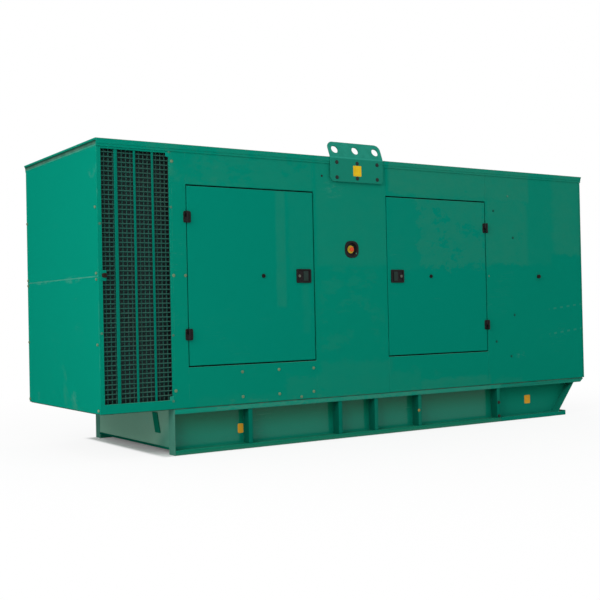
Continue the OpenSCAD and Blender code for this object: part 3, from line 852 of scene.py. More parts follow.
@dataclass(frozen=True)
class Paint(Finish):
    """Sprayed satin paint on sheet steel: smudges, dust, scratches and rubbed edges."""

    specular: float = 0.0
    smudge: float = 0.5
    scratches: float = 0.4
    wear: float = 0.35
    top_dust: float = 0.5
    low_dust: float = 0.2
    low_height: float = 0.6
    waves: float = 0.6
    # Strength of the painted reflection: paler areas on the long walls, as if they mirrored the pale
    # surroundings.
    haze: float = 0.0
    scuffs: float = 0.0
    # Strength of the painted light on leaning faces, with a painted highlight along their bend.
    film: float = 0.0
    # Recess colours: the set-back webs and the low band darker, partly grime and partly painted shade; foot
    # and top paint the webs darker upwards, as painted shade under the upper flange; side is painted shade on
    # the stiffeners' sides.
    recess: Colour | None = None
    recess_foot: Colour | None = None
    recess_top: Colour | None = None
    recess_coat: float = 0.0
    side: Colour = (0.0012, 0.052, 0.034)
    # A darker front lower corner, painted shade where the lamps reach under the overhang.
    stain: Colour | None = None

    def grimed(self, sheet: Sheet, colour: Socket) -> tuple[Socket, object]:
        """Lays the recess's colours over the paint: the set-back webs and the low band darker, partly grime
        and partly painted shade, the webs painted darker towards their top as painted shade under the upper
        flange, and painted shade on the stiffeners' sides.

        Args:
            sheet: The material's sheet.
            colour: Socket of the colour below.

        Returns:
            The new colour and the weight of the coat.
        """
        recess_group = use(sheet, grime_in_recess)
        recess, coat = self.recess, 0.0
        if self.recess_coat:
            coat = sheet.times(recess_group.outputs["Shine"], self.recess_coat)
        if self.recess_foot and self.recess_top:
            web = sheet.mix(recess_group.outputs["Rise"], self.recess_foot, self.recess_top)
            recess = sheet.mix(recess_group.outputs["Web"], recess, web)
        colour = sheet.mix(recess_group.outputs["Mask"], colour, recess)
        return sheet.mix(recess_group.outputs["Sides"], colour, self.side), coat

    def dress(self, sheet: Sheet) -> None:
        """Lays the paint's layers from the coat up to the dust."""
        smudges = use(sheet, faint_smudges, Cover=self.smudge)
        pale, coat = smudges.outputs["Mask"], 0.0
        # Painted reflection over the paint's colour.
        if self.haze:
            pale = sheet.most(use(sheet, bright_haze, Amount=self.haze).outputs[0], pale)
        colour = sheet.mix(sheet.times(pale, 0.9), self.colour, self.other)
        # Painted light on faces that lean back, and a painted highlight on the bend.
        if self.film:
            colour = sheet.mix(use(sheet, leaning_film, Amount=self.film).outputs[0], colour, LEAN_LIGHT)
        # Darker webs, partly grime and partly painted shade, and painted shade on the stiffeners' sides.
        if self.recess:
            colour, coat = self.grimed(sheet, colour)
        # Painted shade on the front lower corner.
        if self.stain:
            colour = sheet.mix(use(sheet, splashed_corner).outputs[0], colour, self.stain)
        if self.scuffs:
            colour = sheet.mix(use(sheet, rubbed_spots, Amount=self.scuffs).outputs[0], colour, SCUFF)
        colour = sheet.mix(use(sheet, fine_scratches, Amount=self.scratches).outputs[0], colour, SCRATCH)
        colour = sheet.mix(use(sheet, rubbed_edges, Amount=self.wear).outputs[0], colour, WORN)
        amounts = {"On_Top": self.top_dust, "Low": self.low_dust, "Height": self.low_height}
        dust = use(sheet, settled_dust, **amounts).outputs[0]
        rough = sheet.ramp(smudges.outputs["Cloud"], 0.3, 0.75, self.roughness - 0.05, self.roughness + 0.14)
        rough = sheet.math("ADD", rough, sheet.times(dust, 0.3), clamp=True)
        peel = use(sheet, orange_peel, Waves=self.waves).outputs[0]
        self.shader(sheet, sheet.mix(dust, colour, DUST), rough, peel, coat)


GREEN: Colour = (0.0012, 0.205, 0.138)
DULL_GREEN: Colour = (0.0165, 0.203, 0.132)
SHADED_GREEN: Colour = (0.0008, 0.088, 0.056)
ENCLOSURE = Paint(
    "enclosure_green", GREEN, DULL_GREEN, 0.34, bump=0.0004, smudge=0.22, scratches=0.16, low_dust=0.0,
    top_dust=0.3, haze=0.85, scuffs=0.45)
ROOFING = Paint(
    "roof_green", GREEN, DULL_GREEN, 0.38, bump=0.0005, smudge=0.3, scratches=0.1, top_dust=0.34, haze=0.85)
# Painted shade: the roof's lip is a dark green band, standing in for the shade under the pan's edge.
ROOF_LIP_SHADE = Paint(
    "roof_edge_green", (0.0070, 0.057, 0.035), (0.012, 0.062, 0.041), 0.4, bump=0.0005, smudge=0.4,
    scratches=0.1, top_dust=0.2)
DOOR_GREEN = Paint(
    "door_green", (0.0008, 0.205, 0.141), (0.0160, 0.202, 0.133), 0.30, bump=0.0004, smudge=0.16,
    scratches=0.12, low_dust=0.0, top_dust=0.2, haze=0.9, scuffs=0.5)
GUSSET_GREEN = Paint(
    "gusset_green", (0.0012, 0.238, 0.168), (0.004, 0.225, 0.158), 0.3, bump=0.0002, smudge=0.2,
    scratches=0.0)
# Settings that the base's long sides share, and its end plates.
LONG = {"wear": 0.3, "top_dust": 0.04, "low_dust": 0.0, "waves": 0.2}
SHORT = {"low_dust": 0.05, "low_height": 0.7, "waves": 0.3}
# The recess and side colours of the base, stiffeners and extensions are painted shade in part: darker webs,
# partly grime, darker towards their top, and dark stiffener and slope-plate sides.
BASE = Paint(
    "base_green", (0.004, 0.228, 0.156), (0.034, 0.225, 0.155), 0.3, specular=0.03, bump=0.0002, smudge=0.2,
    scratches=0.15, low_height=0.55, haze=1.0, recess=(0.0012, 0.160, 0.093), side=SHADED_GREEN,
    recess_foot=(0.0012, 0.186, 0.120), recess_top=(0.0012, 0.123, 0.063), recess_coat=0.34, **LONG)
RIB = Paint(
    "stiffener_green", (0.0015, 0.140, 0.095), (0.006, 0.150, 0.100), 0.35, bump=0.0002, scratches=0.1,
    recess=(0.0012, 0.120, 0.080), side=SHADED_GREEN, **LONG)
EXTENSION = Paint(
    "extension_green", (0.003, 0.205, 0.140), (0.012, 0.190, 0.128), 0.35, specular=0.01, bump=0.0003,
    scratches=0.1, recess=(0.0016, 0.182, 0.122), recess_foot=(0.0046, 0.203, 0.137),
    recess_top=(0.0010, 0.160, 0.098), side=(0.0012, 0.155, 0.103), **LONG)
CLOSING = Paint(
    "closing_plate_green", (0.028, 0.172, 0.124), (0.040, 0.180, 0.130), specular=0.02, bump=0.0003,
    smudge=0.6, wear=0.7, top_dust=0.2, **SHORT)
# Painted light: the left cross plate's paint is far lighter than the green, partly pale dust and partly
# standing in for light that the enclosure's overhang keeps off; its front lower corner is painted darker,
# painted shade.
LIGHTENED_BASE_END = Paint(
    "base_end_green", (0.108, 0.345, 0.254), (0.150, 0.336, 0.244), specular=0.05, bump=0.0005, smudge=0.8,
    wear=0.3, top_dust=0.3, stain=(0.042, 0.190, 0.134), **SHORT)
# Painted shade: the mullions are a darker green, standing in for the shade of their set-back fronts.
SHADED_MULLION = Paint(
    "mullion_green", (0.0015, 0.150, 0.105), (0.006, 0.140, 0.098), 0.4, bump=0.0002, smudge=0.3,
    scratches=0.0, wear=0.2, low_dust=0.0, waves=0.2)
DECKING = Paint(
    "deck_green", (0.010, 0.085, 0.060), (0.020, 0.080, 0.058), specular=0.05, bump=0.0005, top_dust=0.35,
    waves=0.3)
STRIP = Paint(
    "strip_green", (0.003, 0.150, 0.092), (0.010, 0.135, 0.085), 0.4, bump=0.0003, low_dust=0.0, waves=0.2)
# The bracket's leaning faces take painted light, with a painted highlight on the bend.
BRACKET = Paint(
    "bracket_green", (0.007, 0.190, 0.128), (0.018, 0.188, 0.126), 0.36, specular=0.03, bump=0.0004,
    smudge=0.6, scratches=0.1, wear=0.5, waves=0.2, film=0.55)
# Painted shade: the wires are a dull green made darker, standing in for the shade of the grille's recess.
SHADED_WIRE = Paint(
    "wire_green", (0.017, 0.094, 0.073), (0.024, 0.083, 0.064), specular=0.03, scratches=0.0, wear=0.0)
# Settings that several plain finishes share.
MOULDED = {"specular": 0.12, "dust": 0.03}
RUBBERY = {"specular": 0.08, "grain": 260.0, "bump": 0.0002}
SPONGY = {"roughness": 0.95, "specular": 0.02, "grain": 190.0, "bump": 0.003}
CHALKY = {"roughness": 0.7, "specular": 0.0, "grain": 60.0, "bump": 0.0005, "dust": 0.15}
STICKER = {"specular": 0.05, "bump": 0.00005, "dust": 0.03}
BLACK = Finish("black_moulding", (0.007, 0.005, 0.0055), (0.011, 0.008, 0.009), 0.45, grain=500.0, **MOULDED)
PADDLE = Finish("black_paddle", (0.010, 0.024, 0.019), (0.015, 0.030, 0.025), 0.38, grain=400.0, **MOULDED)
RUBBER = Finish("black_rubber", (0.010, 0.007, 0.007), (0.014, 0.010, 0.010), 0.75, **RUBBERY)
BROWN_RUBBER = Finish("brown_rubber", (0.026, 0.012, 0.009), (0.018, 0.010, 0.008), 0.7, **RUBBERY)
FOAM = Finish("charcoal_foam", (0.013, 0.017, 0.018), (0.022, 0.026, 0.027), **SPONGY)
DUSTY_FOAM = Finish("dusty_foam", (0.027, 0.047, 0.046), (0.033, 0.053, 0.052), **SPONGY)
ZINC = Finish(
    "zinc_fastener", (0.135, 0.225, 0.125), (0.095, 0.165, 0.095), metallic=0.15, specular=0.15, dust=0.03)
PALE_ZINC = Finish(
    "pale_zinc_fastener", (0.060, 0.185, 0.120), (0.045, 0.150, 0.098), metallic=0.15, specular=0.1)
PAINTED_SCREW = Finish(
    "painted_fastener", (0.003, 0.082, 0.056), (0.006, 0.070, 0.048), specular=0.05, dust=0.0)
BROWNED = Finish(
    "browned_fastener", (0.026, 0.026, 0.022), (0.018, 0.028, 0.026), 0.55, metallic=0.15, specular=0.1)
OXIDE = Finish(
    "dark_fastener", (0.014, 0.014, 0.012), (0.026, 0.022, 0.018), 0.55, metallic=0.2, specular=0.12)
BRASS = Finish(
    "brass_fastener", (0.30, 0.20, 0.05), (0.20, 0.15, 0.05), metallic=0.2, specular=0.1, dust=0.03)
NICKEL = Finish(
    "key_cylinder", (0.125, 0.145, 0.110), (0.090, 0.105, 0.080), 0.4, metallic=0.5, specular=0.2,
    bump=0.00005)
BUTTON = Finish("red_mushroom", (0.62, 0.080, 0.027), (0.54, 0.066, 0.022), 0.35, specular=0.12, bump=0.00005)
DISC = Finish("yellow_disc", (0.62, 0.44, 0.030), (0.56, 0.39, 0.026), specular=0.1, bump=0.00005)
YELLOW = Finish("yellow_plate", (0.73, 0.475, 0.016), (0.64, 0.41, 0.014), **STICKER)
ORANGE = Finish("orange_plate", (0.70, 0.350, 0.028), (0.58, 0.27, 0.022), **STICKER)
SEALANT = Finish(
    "tan_sealant", (0.060, 0.105, 0.068), (0.006, 0.085, 0.056), 0.7, specular=0.05, grain=60.0, bump=0.001,
    dust=0.15)
CHALK = Finish("chalky_green", SCUFF, (0.022, 0.215, 0.150), **CHALKY)
CURB = Finish("dusty_curb", (0.060, 0.150, 0.108), (0.036, 0.118, 0.082), **CHALKY)
# Painted shade: a dark band on the end walls' ledges, under the roof's lip.
CURB_SHADE = Finish("grimy_curb", (0.030, 0.090, 0.062), (0.020, 0.074, 0.050), **CHALKY)


# ---- Pieces ----

# Angles past which an edge shades sharp, and past which it is bevelled.
SHARP_ANGLE, BEVEL_ANGLE = math.radians(38), math.radians(40)


def stand(name: str, data: bpy.types.ID) -> bpy.types.Object:
    """A new object that shows the data, linked to the scene."""
    made = bpy.data.objects.new(name, data)
    bpy.context.scene.collection.objects.link(made)
    return made


class Piece:
    """Gathers surfaces in their finishes and makes them one object."""

    def __init__(self, name: str, place: Place | None = None) -> None:
        """Starts an empty piece; place puts its surfaces into space."""
        self.name = name
        self.place = place
        self.parts: list[tuple[Surface, Finish]] = []

    def on(self, place: Place) -> "Piece":
        """Puts the surfaces that follow somewhere else."""
        self.place = place
        return self

    def add(self, surface: Surface, finish: Finish) -> "Piece":
        """Adds a surface and puts it in place."""
        placed = surface.mapped(self.place) if self.place else surface
        self.parts.append((placed.outward(), finish))
        return self

    def make(self, slot: str, replaces: Iterable[str] = (), body: str = "root", bevel: float = 0.0) -> None:
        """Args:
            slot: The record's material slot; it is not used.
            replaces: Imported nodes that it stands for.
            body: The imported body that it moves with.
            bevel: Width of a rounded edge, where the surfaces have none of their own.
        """
        starts = np.cumsum([0] + [len(s.points) for s, _ in self.parts])
        points = np.concatenate([s.points for s, _ in self.parts])
        faces, slots = [], []
        finishes = list(dict.fromkeys(f for _, f in self.parts))
        for start, (surface, finish) in zip(starts, self.parts):
            own = (surface.quads + start).tolist() + [(cap + start).tolist() for cap in surface.caps]
            faces += own
            slots += [finishes.index(finish)] * len(own)
        mesh = bpy.data.meshes.new(self.name)
        mesh.from_pydata(points.tolist(), [], faces)
        for finish in finishes:
            mesh.materials.append(finish.material())
        mesh.polygons.foreach_set("material_index", slots)
        mesh.shade_smooth()
        mesh.set_sharp_from_angle(angle=SHARP_ANGLE)
        piece = stand(self.name, mesh)
        if bevel:
            edges = piece.modifiers.new("rounded_edges", "BEVEL")
            edges.width, edges.segments, edges.limit_method = bevel, 2, "ANGLE"
            edges.angle_limit, edges.harden_normals = BEVEL_ANGLE, True
        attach(piece, body)
        if replaces:
            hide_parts(*replaces)
        LOG.info("%s: %d faces on %s", self.name, len(faces), body)


def lining(rect: Array, front: float, back: float) -> Surface:
    """A foam slab behind a skin, a little smaller, with well rounded inner edges."""
    inset, radius = 0.006, 0.008
    stations = np.concatenate([[[0.0, front]], fold(radius, back, -1)[::-1]])
    return plate(rect + inset * mitre(rect), stations)


def discs(rect: Array, depth: float) -> Surface:
    """Retaining discs pinned through a lining on an even grid.

    Args:
        rect: The lining's rectangle.
        depth: Depth of the lining's inner face.

    Returns:
        All the discs.
    """
    low, high = rect.min(axis=0), rect.max(axis=0)
    spacing, rim, thick, pin = 0.36, 0.016, 0.0012, 0.003
    count = np.maximum(np.round((high - low) / spacing).astype(int), 1)
    across, up = [low[i] + (np.arange(count[i]) + 0.5) * (high[i] - low[i]) / count[i] for i in (0, 1)]
    grid = np.stack(np.meshgrid(across, up), axis=-1).reshape(-1, 2)
    one = turned([[rim, depth - thick], [rim, depth], [rim * 0.85, depth + thick], [pin, depth + thick]], 14)
    return one.at(np.stack([grid[:, 0], 0 * grid[:, 0], grid[:, 1]], axis=1))


def pan_head(radius: float, height: float, sides: int = 12) -> Surface:
    """A domed screw head that stands out from depth 0: radius r cos t, height h sin t."""
    t = np.linspace(0, math.pi / 2 * 0.94, 5)
    dome = np.stack([radius * np.cos(t), -height * (0.35 + 0.65 * np.sin(t))], axis=1)
    return turned(np.concatenate([[[radius, 0.0008]], dome]), sides)


def hex_bolt(across: float, height: float) -> Surface:
    """A six-sided head with chamfered corners, standing out from depth 0."""
    hexagon = across / math.sqrt(3) * rays(round_angles(6) + 0.2)
    return plate(hexagon, np.array([[0.0, 0.0], [0.0, -height * 0.8], [across * 0.07, -height]]))


def washer(radius: float, height: float) -> Surface:
    """A flat washer under a bolt head."""
    rim = [[radius, 0.0006], [radius, -height * 0.7], [radius * 0.94, -height], [radius * 0.3, -height]]
    return turned(rim, 20)


def sticker(rect: Array, radius: float, face: float, thickness: float) -> Surface:
    """A plain plate with round corners, stuck on a face and sunk into it by a hair."""
    sunk, edge = 0.0002, 0.0004
    return tablet(rect, radius, face - thickness, face + sunk, edge)


def spots(places: Iterable[tuple[float, float]]) -> Array:
    """Offsets of things set out by distance from the walls' left end and height above the floor."""
    return np.array([(LEFT + x, 0.0, z) for x, z in places])


def middle(node: str) -> Array:
    """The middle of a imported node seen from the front, (across, 0, up)."""
    low, high = corners(node)
    return np.array([(low[0] + high[0]) / 2, 0.0, (low[2] + high[2]) / 2])


@dataclass
class OnSide:
    """A sub-assembly of one long side."""

    side: Side

    @property
    def place(self) -> Place:
        """Puts (across, depth, up) onto the side's wall."""
        return on_side(self.side)

    def name(self, node: str) -> str:
        """The name on this side."""
        return f"{self.side.word}_{node}"


# ---- Enclosure ----

# Edges of a panel: bottom, right, top, left. 1 is a seam, 0 runs on, more than 1 is a wider fold.
Edges = tuple[float, float, float, float]
SKIN, SEAM, SEAM_RADIUS = 0.018, 0.0008, 0.0042


def wall_panel(piece: Piece, rect: Array, edges: Edges, depth: float) -> None:
    """A folded steel skin with a foam lining and its retaining discs.

    Args:
        piece: The piece that it belongs to.
        rect: Its rectangle.
        edges: Which edges are rounded seams.
        depth: Whole depth of the lined panel.
    """
    lifted = rect + SEAM * mitre(rect, np.minimum(edges, 1.0))
    piece.add(slab(lifted, 0.0, SKIN, SEAM_RADIUS, np.maximum(edges, soft())), ENCLOSURE)
    piece.add(lining(rect, SKIN - 0.002, depth), FOAM)
    piece.add(discs(rect, depth), OXIDE)


# Screws by distance from the walls' left end and height above the floor.
ZINC_SCREWS = (
    (1.177, 0.599), (1.513, 0.601), (1.848, 0.597), (1.178, 0.406), (1.515, 0.407), (1.845, 0.406),
    (1.724, 0.370), (0.599, 0.485), (0.599, 1.348), (0.698, 1.348), (0.599, 2.205))
PALE_SCREWS = (
    (4.087, 2.101), (3.827, 1.351), (0.020, 1.72), (0.020, 0.93), (0.586, 1.86), (0.586, 0.90),
    (0.578, 2.274), (0.578, 0.409))
PAINTED_SCREWS = ((3.898, 1.957), (4.145, 1.712), (4.146, 0.985), (3.905, 0.743), (4.092, 0.600))
DARK_SCREWS = ((1.968, 2.173),)
RIVETS = tuple((4.56 + i * 0.085, z) for z in (1.208, 1.023) for i in range(5))
# Radius, height, sides and finish of each kind.
SCREWS = (
    (ZINC_SCREWS, 0.0125, 0.005, 12, ZINC), (PALE_SCREWS, 0.0100, 0.0035, 12, PALE_ZINC),
    (PAINTED_SCREWS, 0.0120, 0.004, 12, PAINTED_SCREW), (DARK_SCREWS, 0.0095, 0.004, 12, OXIDE),
    (RIVETS, 0.005, 0.0012, 8, ENCLOSURE))


@dataclass
class SideWall(OnSide):
    """One long wall: lined panels, the seals behind its doors, screws and rivets."""

    post: float = 0.022
    stop_hole: float = 0.0606
    hole_edge: float = 0.0012
    seal_width: float = 0.025

    def __post_init__(self) -> None:
        """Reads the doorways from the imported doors."""
        self.doors = [corners(self.name(f"door_{n}")) for n in (1, 2)]

    def doorway(self, door: int) -> Array:
        """Outline of a doorway: the door's own plus the gap all round."""
        low, high = self.doors[door]
        return rectangle(low[0] - DOOR_GAP, low[2] - DOOR_GAP, high[0] + DOOR_GAP, high[2] + DOOR_GAP)

    def panel(self, node: str, *rects: tuple[float, float, float, float, Edges]) -> None:
        """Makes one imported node's panels.

        Args:
            node: The node's name without its side.
            *rects: Each panel's left, bottom, right and top, and its edges.
        """
        piece = Piece(self.name(node) + "_skin", self.place)
        for *rect, edges in rects:
            wall_panel(piece, rectangle(*rect), edges, WALL_T)
        piece.make("enclosure_paint", [self.name(node)])

    def build_panels(self) -> None:
        """Makes the jamb, headers, sills, middle and right panels.

        The left doorway's frame is one sheet, so its inner joins have no seam; the right
        doorway's strips have a seam on either side.
        """
        (a0, low), _, (a1, high), _ = self.doorway(0)
        (b0, _), _, (b1, _), _ = self.doorway(1)
        left, right = corners(self.name("door_jamb"))[0][0], WALL_X - CORNER_LAP
        post, foot, top = WALL_X - self.post, BODY_Z, WALL_TOP
        self.panel("door_jamb", (left, foot, a0, top, (1, 0, 0, 0)))
        self.panel("door_headers", (a0, high, a1, top, (1, 0, 0, 0)), (b0, high, b1, top, (1, 0.3, 0, 1)))
        self.panel("door_sills", (a0, foot, a1, low, (1, 0, 1, 0)), (b0, foot, b1, low, (1, 0.3, 1, 0.7)))
        corner = (post, foot, right, top, (1, 3, 0, 0))
        self.panel("right_panel", (b1, foot, post, top, (1, 1, 0, 0.3)), corner)
        if self.side is Side.FRONT:
            self.build_bored_panel(rectangle(a1, foot, b0, top))
        else:
            self.panel("middle_panel", (a1, foot, b0, top, (1, 1, 0, 0)))

    def build_bored_panel(self, rect: Array) -> None:
        """Makes the front's middle panel round the hole for the emergency stop.

        Outline and hole have their points on the same rays from the hole's middle, the
        rectangle's corners among them.

        Args:
            rect: The panel's rectangle.
        """
        mid = middle("emergency_stop_housing")[[0, 2]]
        to_corner = rect - mid
        to_corners = np.mod(np.arctan2(to_corner[:, 1], to_corner[:, 0]), 2 * math.pi)
        angle = np.sort(np.concatenate([round_angles(64), to_corners]))
        reach = box_reach(angle, *to_corner[2], *-to_corner[0])
        outer, hole = mid + reach[:, None] * rays(angle), mid + self.stop_hole * rays(angle)
        piece = Piece("front_middle_panel_skin", self.place)
        for front, back, finish in ((0.0, SKIN, ENCLOSURE), (SKIN + 0.0005, WALL_T, FOAM)):
            piece.add(ring_plate(outer, hole, folds(front, back, self.hole_edge), 0.1), finish)
        piece.add(discs(rect, WALL_T), OXIDE)
        piece.make("enclosure_paint", ["front_middle_panel"])

    def build_seals(self) -> None:
        """Makes the rubber seals behind the doors.

        A rounded section is carried round each doorway: a flat bar with a raised nose.
        """
        low, high = np.abs(np.array(corners(self.name("door_stops")))[:, 1])
        near, far = WALL_Y - max(low, high), WALL_Y - min(low, high)
        w, nose = self.seal_width, near + 0.0004
        top = [[w, nose + 0.005], [w * 0.72, nose], [w * 0.3, nose], [0.0, nose + 0.004]]
        bar = [[0.0, far], [w, far], *top]
        section = rounded(np.array(bar), 0.0016, 4)
        piece = Piece(self.name("door_seals"), self.place)
        for door in (0, 1):
            outline = self.doorway(door)
            flat = outline[None] + section[:, :1, None] * mitre(outline)[None]
            piece.add(at_depths(flat, section[:, 1], closed=True), RUBBER)
        piece.make("rubber_seal", [self.name("door_stops")])

    def build_fasteners(self) -> None:
        """Makes the zinc, painted and dark screws of the side, and its two small rivet rows."""
        piece = Piece(self.name("panel_screws"), self.place)
        for places, radius, height, sides, finish in SCREWS:
            piece.add(pan_head(radius, height, sides).at(spots(places)), finish)
        piece.make("black_fitting")

    def build(self) -> None:
        """Makes the whole wall."""
        self.build_panels()
        self.build_seals()
        self.build_fasteners()


@dataclass
class Grille(OnSide):
    """One air grille: folded frame with mullions and gussets, and welded wire mesh behind it."""

    first_column: float = 0.103
    first_mullion: float = 0.027
    mullion: float = 0.019
    mullion_depth: float = 0.0055
    edge: float = 0.0024
    gusset: float = 0.029
    gusset_lap: float = 0.003
    gusset_corner: float = 0.012
    wire: float = 0.0047
    pitch: float = 0.0344

    def __post_init__(self) -> None:
        """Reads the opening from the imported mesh."""
        low, high = corners(self.name("grille_mesh"))
        self.x0, self.x1, self.z0, self.z1 = low[0], high[0], low[2], high[2]
        self.depth = WALL_Y - max(abs(low[1]), abs(high[1]))
        self.right = corners(self.name("grille_frame"))[1][0]

    def mullions(self) -> list[tuple[float, float]]:
        """Left and right edge of each mullion; the three wide columns share what is left."""
        first, wide = self.x0 + self.first_column, self.first_mullion
        column = (self.x1 - first - wide - 2 * self.mullion) / 3
        second = first + wide + column
        third = second + self.mullion + column
        return [(first, first + wide), (second, second + self.mullion), (third, third + self.mullion)]

    def build_frame(self) -> None:
        """Makes the frame: a rounded border, three mullions and two corner gussets."""
        piece = Piece(self.name("grille_border"), self.place)
        outer = rectangle(LEFT + CORNER_LAP, BODY_Z, self.right, WALL_TOP)
        inner = rectangle(self.x0, self.z0, self.x1, self.z1)
        skin = self.depth + 0.005
        for front, back, finish in ((0.0, skin, ENCLOSURE), (skin + 0.0005, WALL_T, FOAM)):
            stations = folds(front, back, self.edge, 0.0008)
            piece.add(ring_plate(outer, inner, stations, soft(bottom=1, left=1)), finish)
        slim, lap = 0.0012, 0.002
        # The mullions' darker green is painted shade.
        for left, right in self.mullions():
            rect = rectangle(left + slim, self.z0 - lap, right - slim, self.z1 + lap)
            piece.add(slab(rect, self.mullion_depth, self.depth, self.edge, soft(right=1, left=1)), SHADED_MULLION)
        near, far = self.x1 + self.gusset_lap, self.x1 - self.gusset
        for z, way in ((self.z0, 1), (self.z1, -1)):
            foot, head = z - way * self.gusset_lap, z + way * self.gusset
            corner = np.array([[near, foot], [near, head], [far, head], [far, foot]])
            tab = rounded(corner, np.array([0.001, 0.001, self.gusset_corner, 0.001]), 6)
            piece.add(slab(tab, -0.0006, 0.004, 0.0006), GUSSET_GREEN)
        piece.make("enclosure_paint", [self.name("grille_frame")])

    def evenly(self, low: float, high: float, shift: float) -> Array:
        """Where the wires stand between two ends: the pitch either way from the middle, shifted."""
        half = int((high - low) / self.pitch / 2)
        even = (low + high) / 2 + self.pitch * (np.arange(-half, half + 1) + shift)
        return even[(even > low) & (even < high)]

    def build_mesh(self) -> None:
        """Makes the square mesh: upright wires behind level ones, welded where they cross."""
        across, up = self.evenly(self.x0, self.x1, 0.1), self.evenly(self.z0, self.z1, 0.2)
        near, far, lap = self.depth + self.wire * 1.1, self.depth + self.wire * 2.9, 0.002
        level = [np.array([[x, near, z] for z in up]) for x in (self.x0 - lap, self.x1 + lap)]
        upright = [np.array([[x, far, z] for x in across]) for z in (self.z0 - lap, self.z1 + lap)]
        piece = Piece(self.name("grille_wires"), self.place)
        piece.add(bars(*level, self.wire), SHADED_WIRE).add(bars(*upright, self.wire * 0.85), SHADED_WIRE)
        piece.make("wire_mesh", [self.name("grille_mesh")])

    def build(self) -> None:
        """Makes the whole grille."""
        self.build_frame()
        self.build_mesh()


@dataclass
class EndWall:
    """One short wall: an upper and a lower lined panel that meet at a dusty seam."""

    end: End
    skin_depth: float = 0.02
    corner_screw_y: float = 0.745
    screw_heights: tuple[float, ...] = (1.841, 1.364, 1.320, 0.849, 0.375)
    screw_size: tuple[float, float] = (0.019, 0.0090)
    seam_strip: tuple[float, float] = (-0.0050, 0.0042)
    ledge_in: float = 0.004
    ledge_back: float = 0.010
    # Ledges: lower and upper edge over the wall's top, left corner's drop, thickness and finish.
    ledges: tuple[tuple[float, float, float, float, Finish], ...] = (
        # The middle ledge is painted shade under the roof's lip.
        (0.0150, 0.0272, 0.0, 0.0028, CURB), (0.0270, 0.0350, 0.0, 0.0022, CURB_SHADE),
        (0.0098, 0.0152, 0.0070, 0.0012, CHALK))

    def build(self) -> None:
        """Makes both panels, the screws down its edges and the ledges at the seam and the roof."""
        place = on_end(self.end)
        reach = WALL_Y - 0.0004
        for level in ("upper", "lower"):
            node = f"{self.end.word}_end_{level}"
            low, high = corners(node)
            piece = Piece(node + "_skin", place)
            top = 0 if level == "upper" else 1
            wall_panel(piece, rectangle(-reach, low[2], reach, high[2]), (1, 1, top, 1), self.skin_depth)
            inner = rectangle(low[1], low[2], high[1], high[2])
            piece.add(lining(inner, self.skin_depth - 0.001, WALL_T), FOAM)
            piece.add(discs(inner, WALL_T), OXIDE)
            piece.make("enclosure_paint", [node])
        edges = (-self.corner_screw_y, self.corner_screw_y)
        piece = Piece(f"{self.end.word}_end_screws", place)
        spot = [(y, 0.0, z) for y in edges for z in self.screw_heights]
        piece.add(hex_bolt(*self.screw_size).at(spot), ZINC)
        seam = corners(f"{self.end.word}_end_upper")[0][2]
        stations = np.array([[0.002, -0.0006], [0.0, 0.0004], [0.0, 0.012]])
        piece.add(plate(self.strip(seam, *self.seam_strip), stations), CHALK)
        for low, high, drop, proud, finish in self.ledges:
            rect = self.strip(WALL_TOP, low, high)
            rect[0, 1] -= drop
            piece.add(slab(rect, -proud, self.ledge_back, 0.0006), finish)
        piece.make("black_fitting")

    def strip(self, start: float, low: float, high: float) -> Array:
        """A level strip across the wall, between two heights over a start."""
        return rectangle(-WALL_Y + self.ledge_in, start + low, WALL_Y - self.ledge_in, start + high)


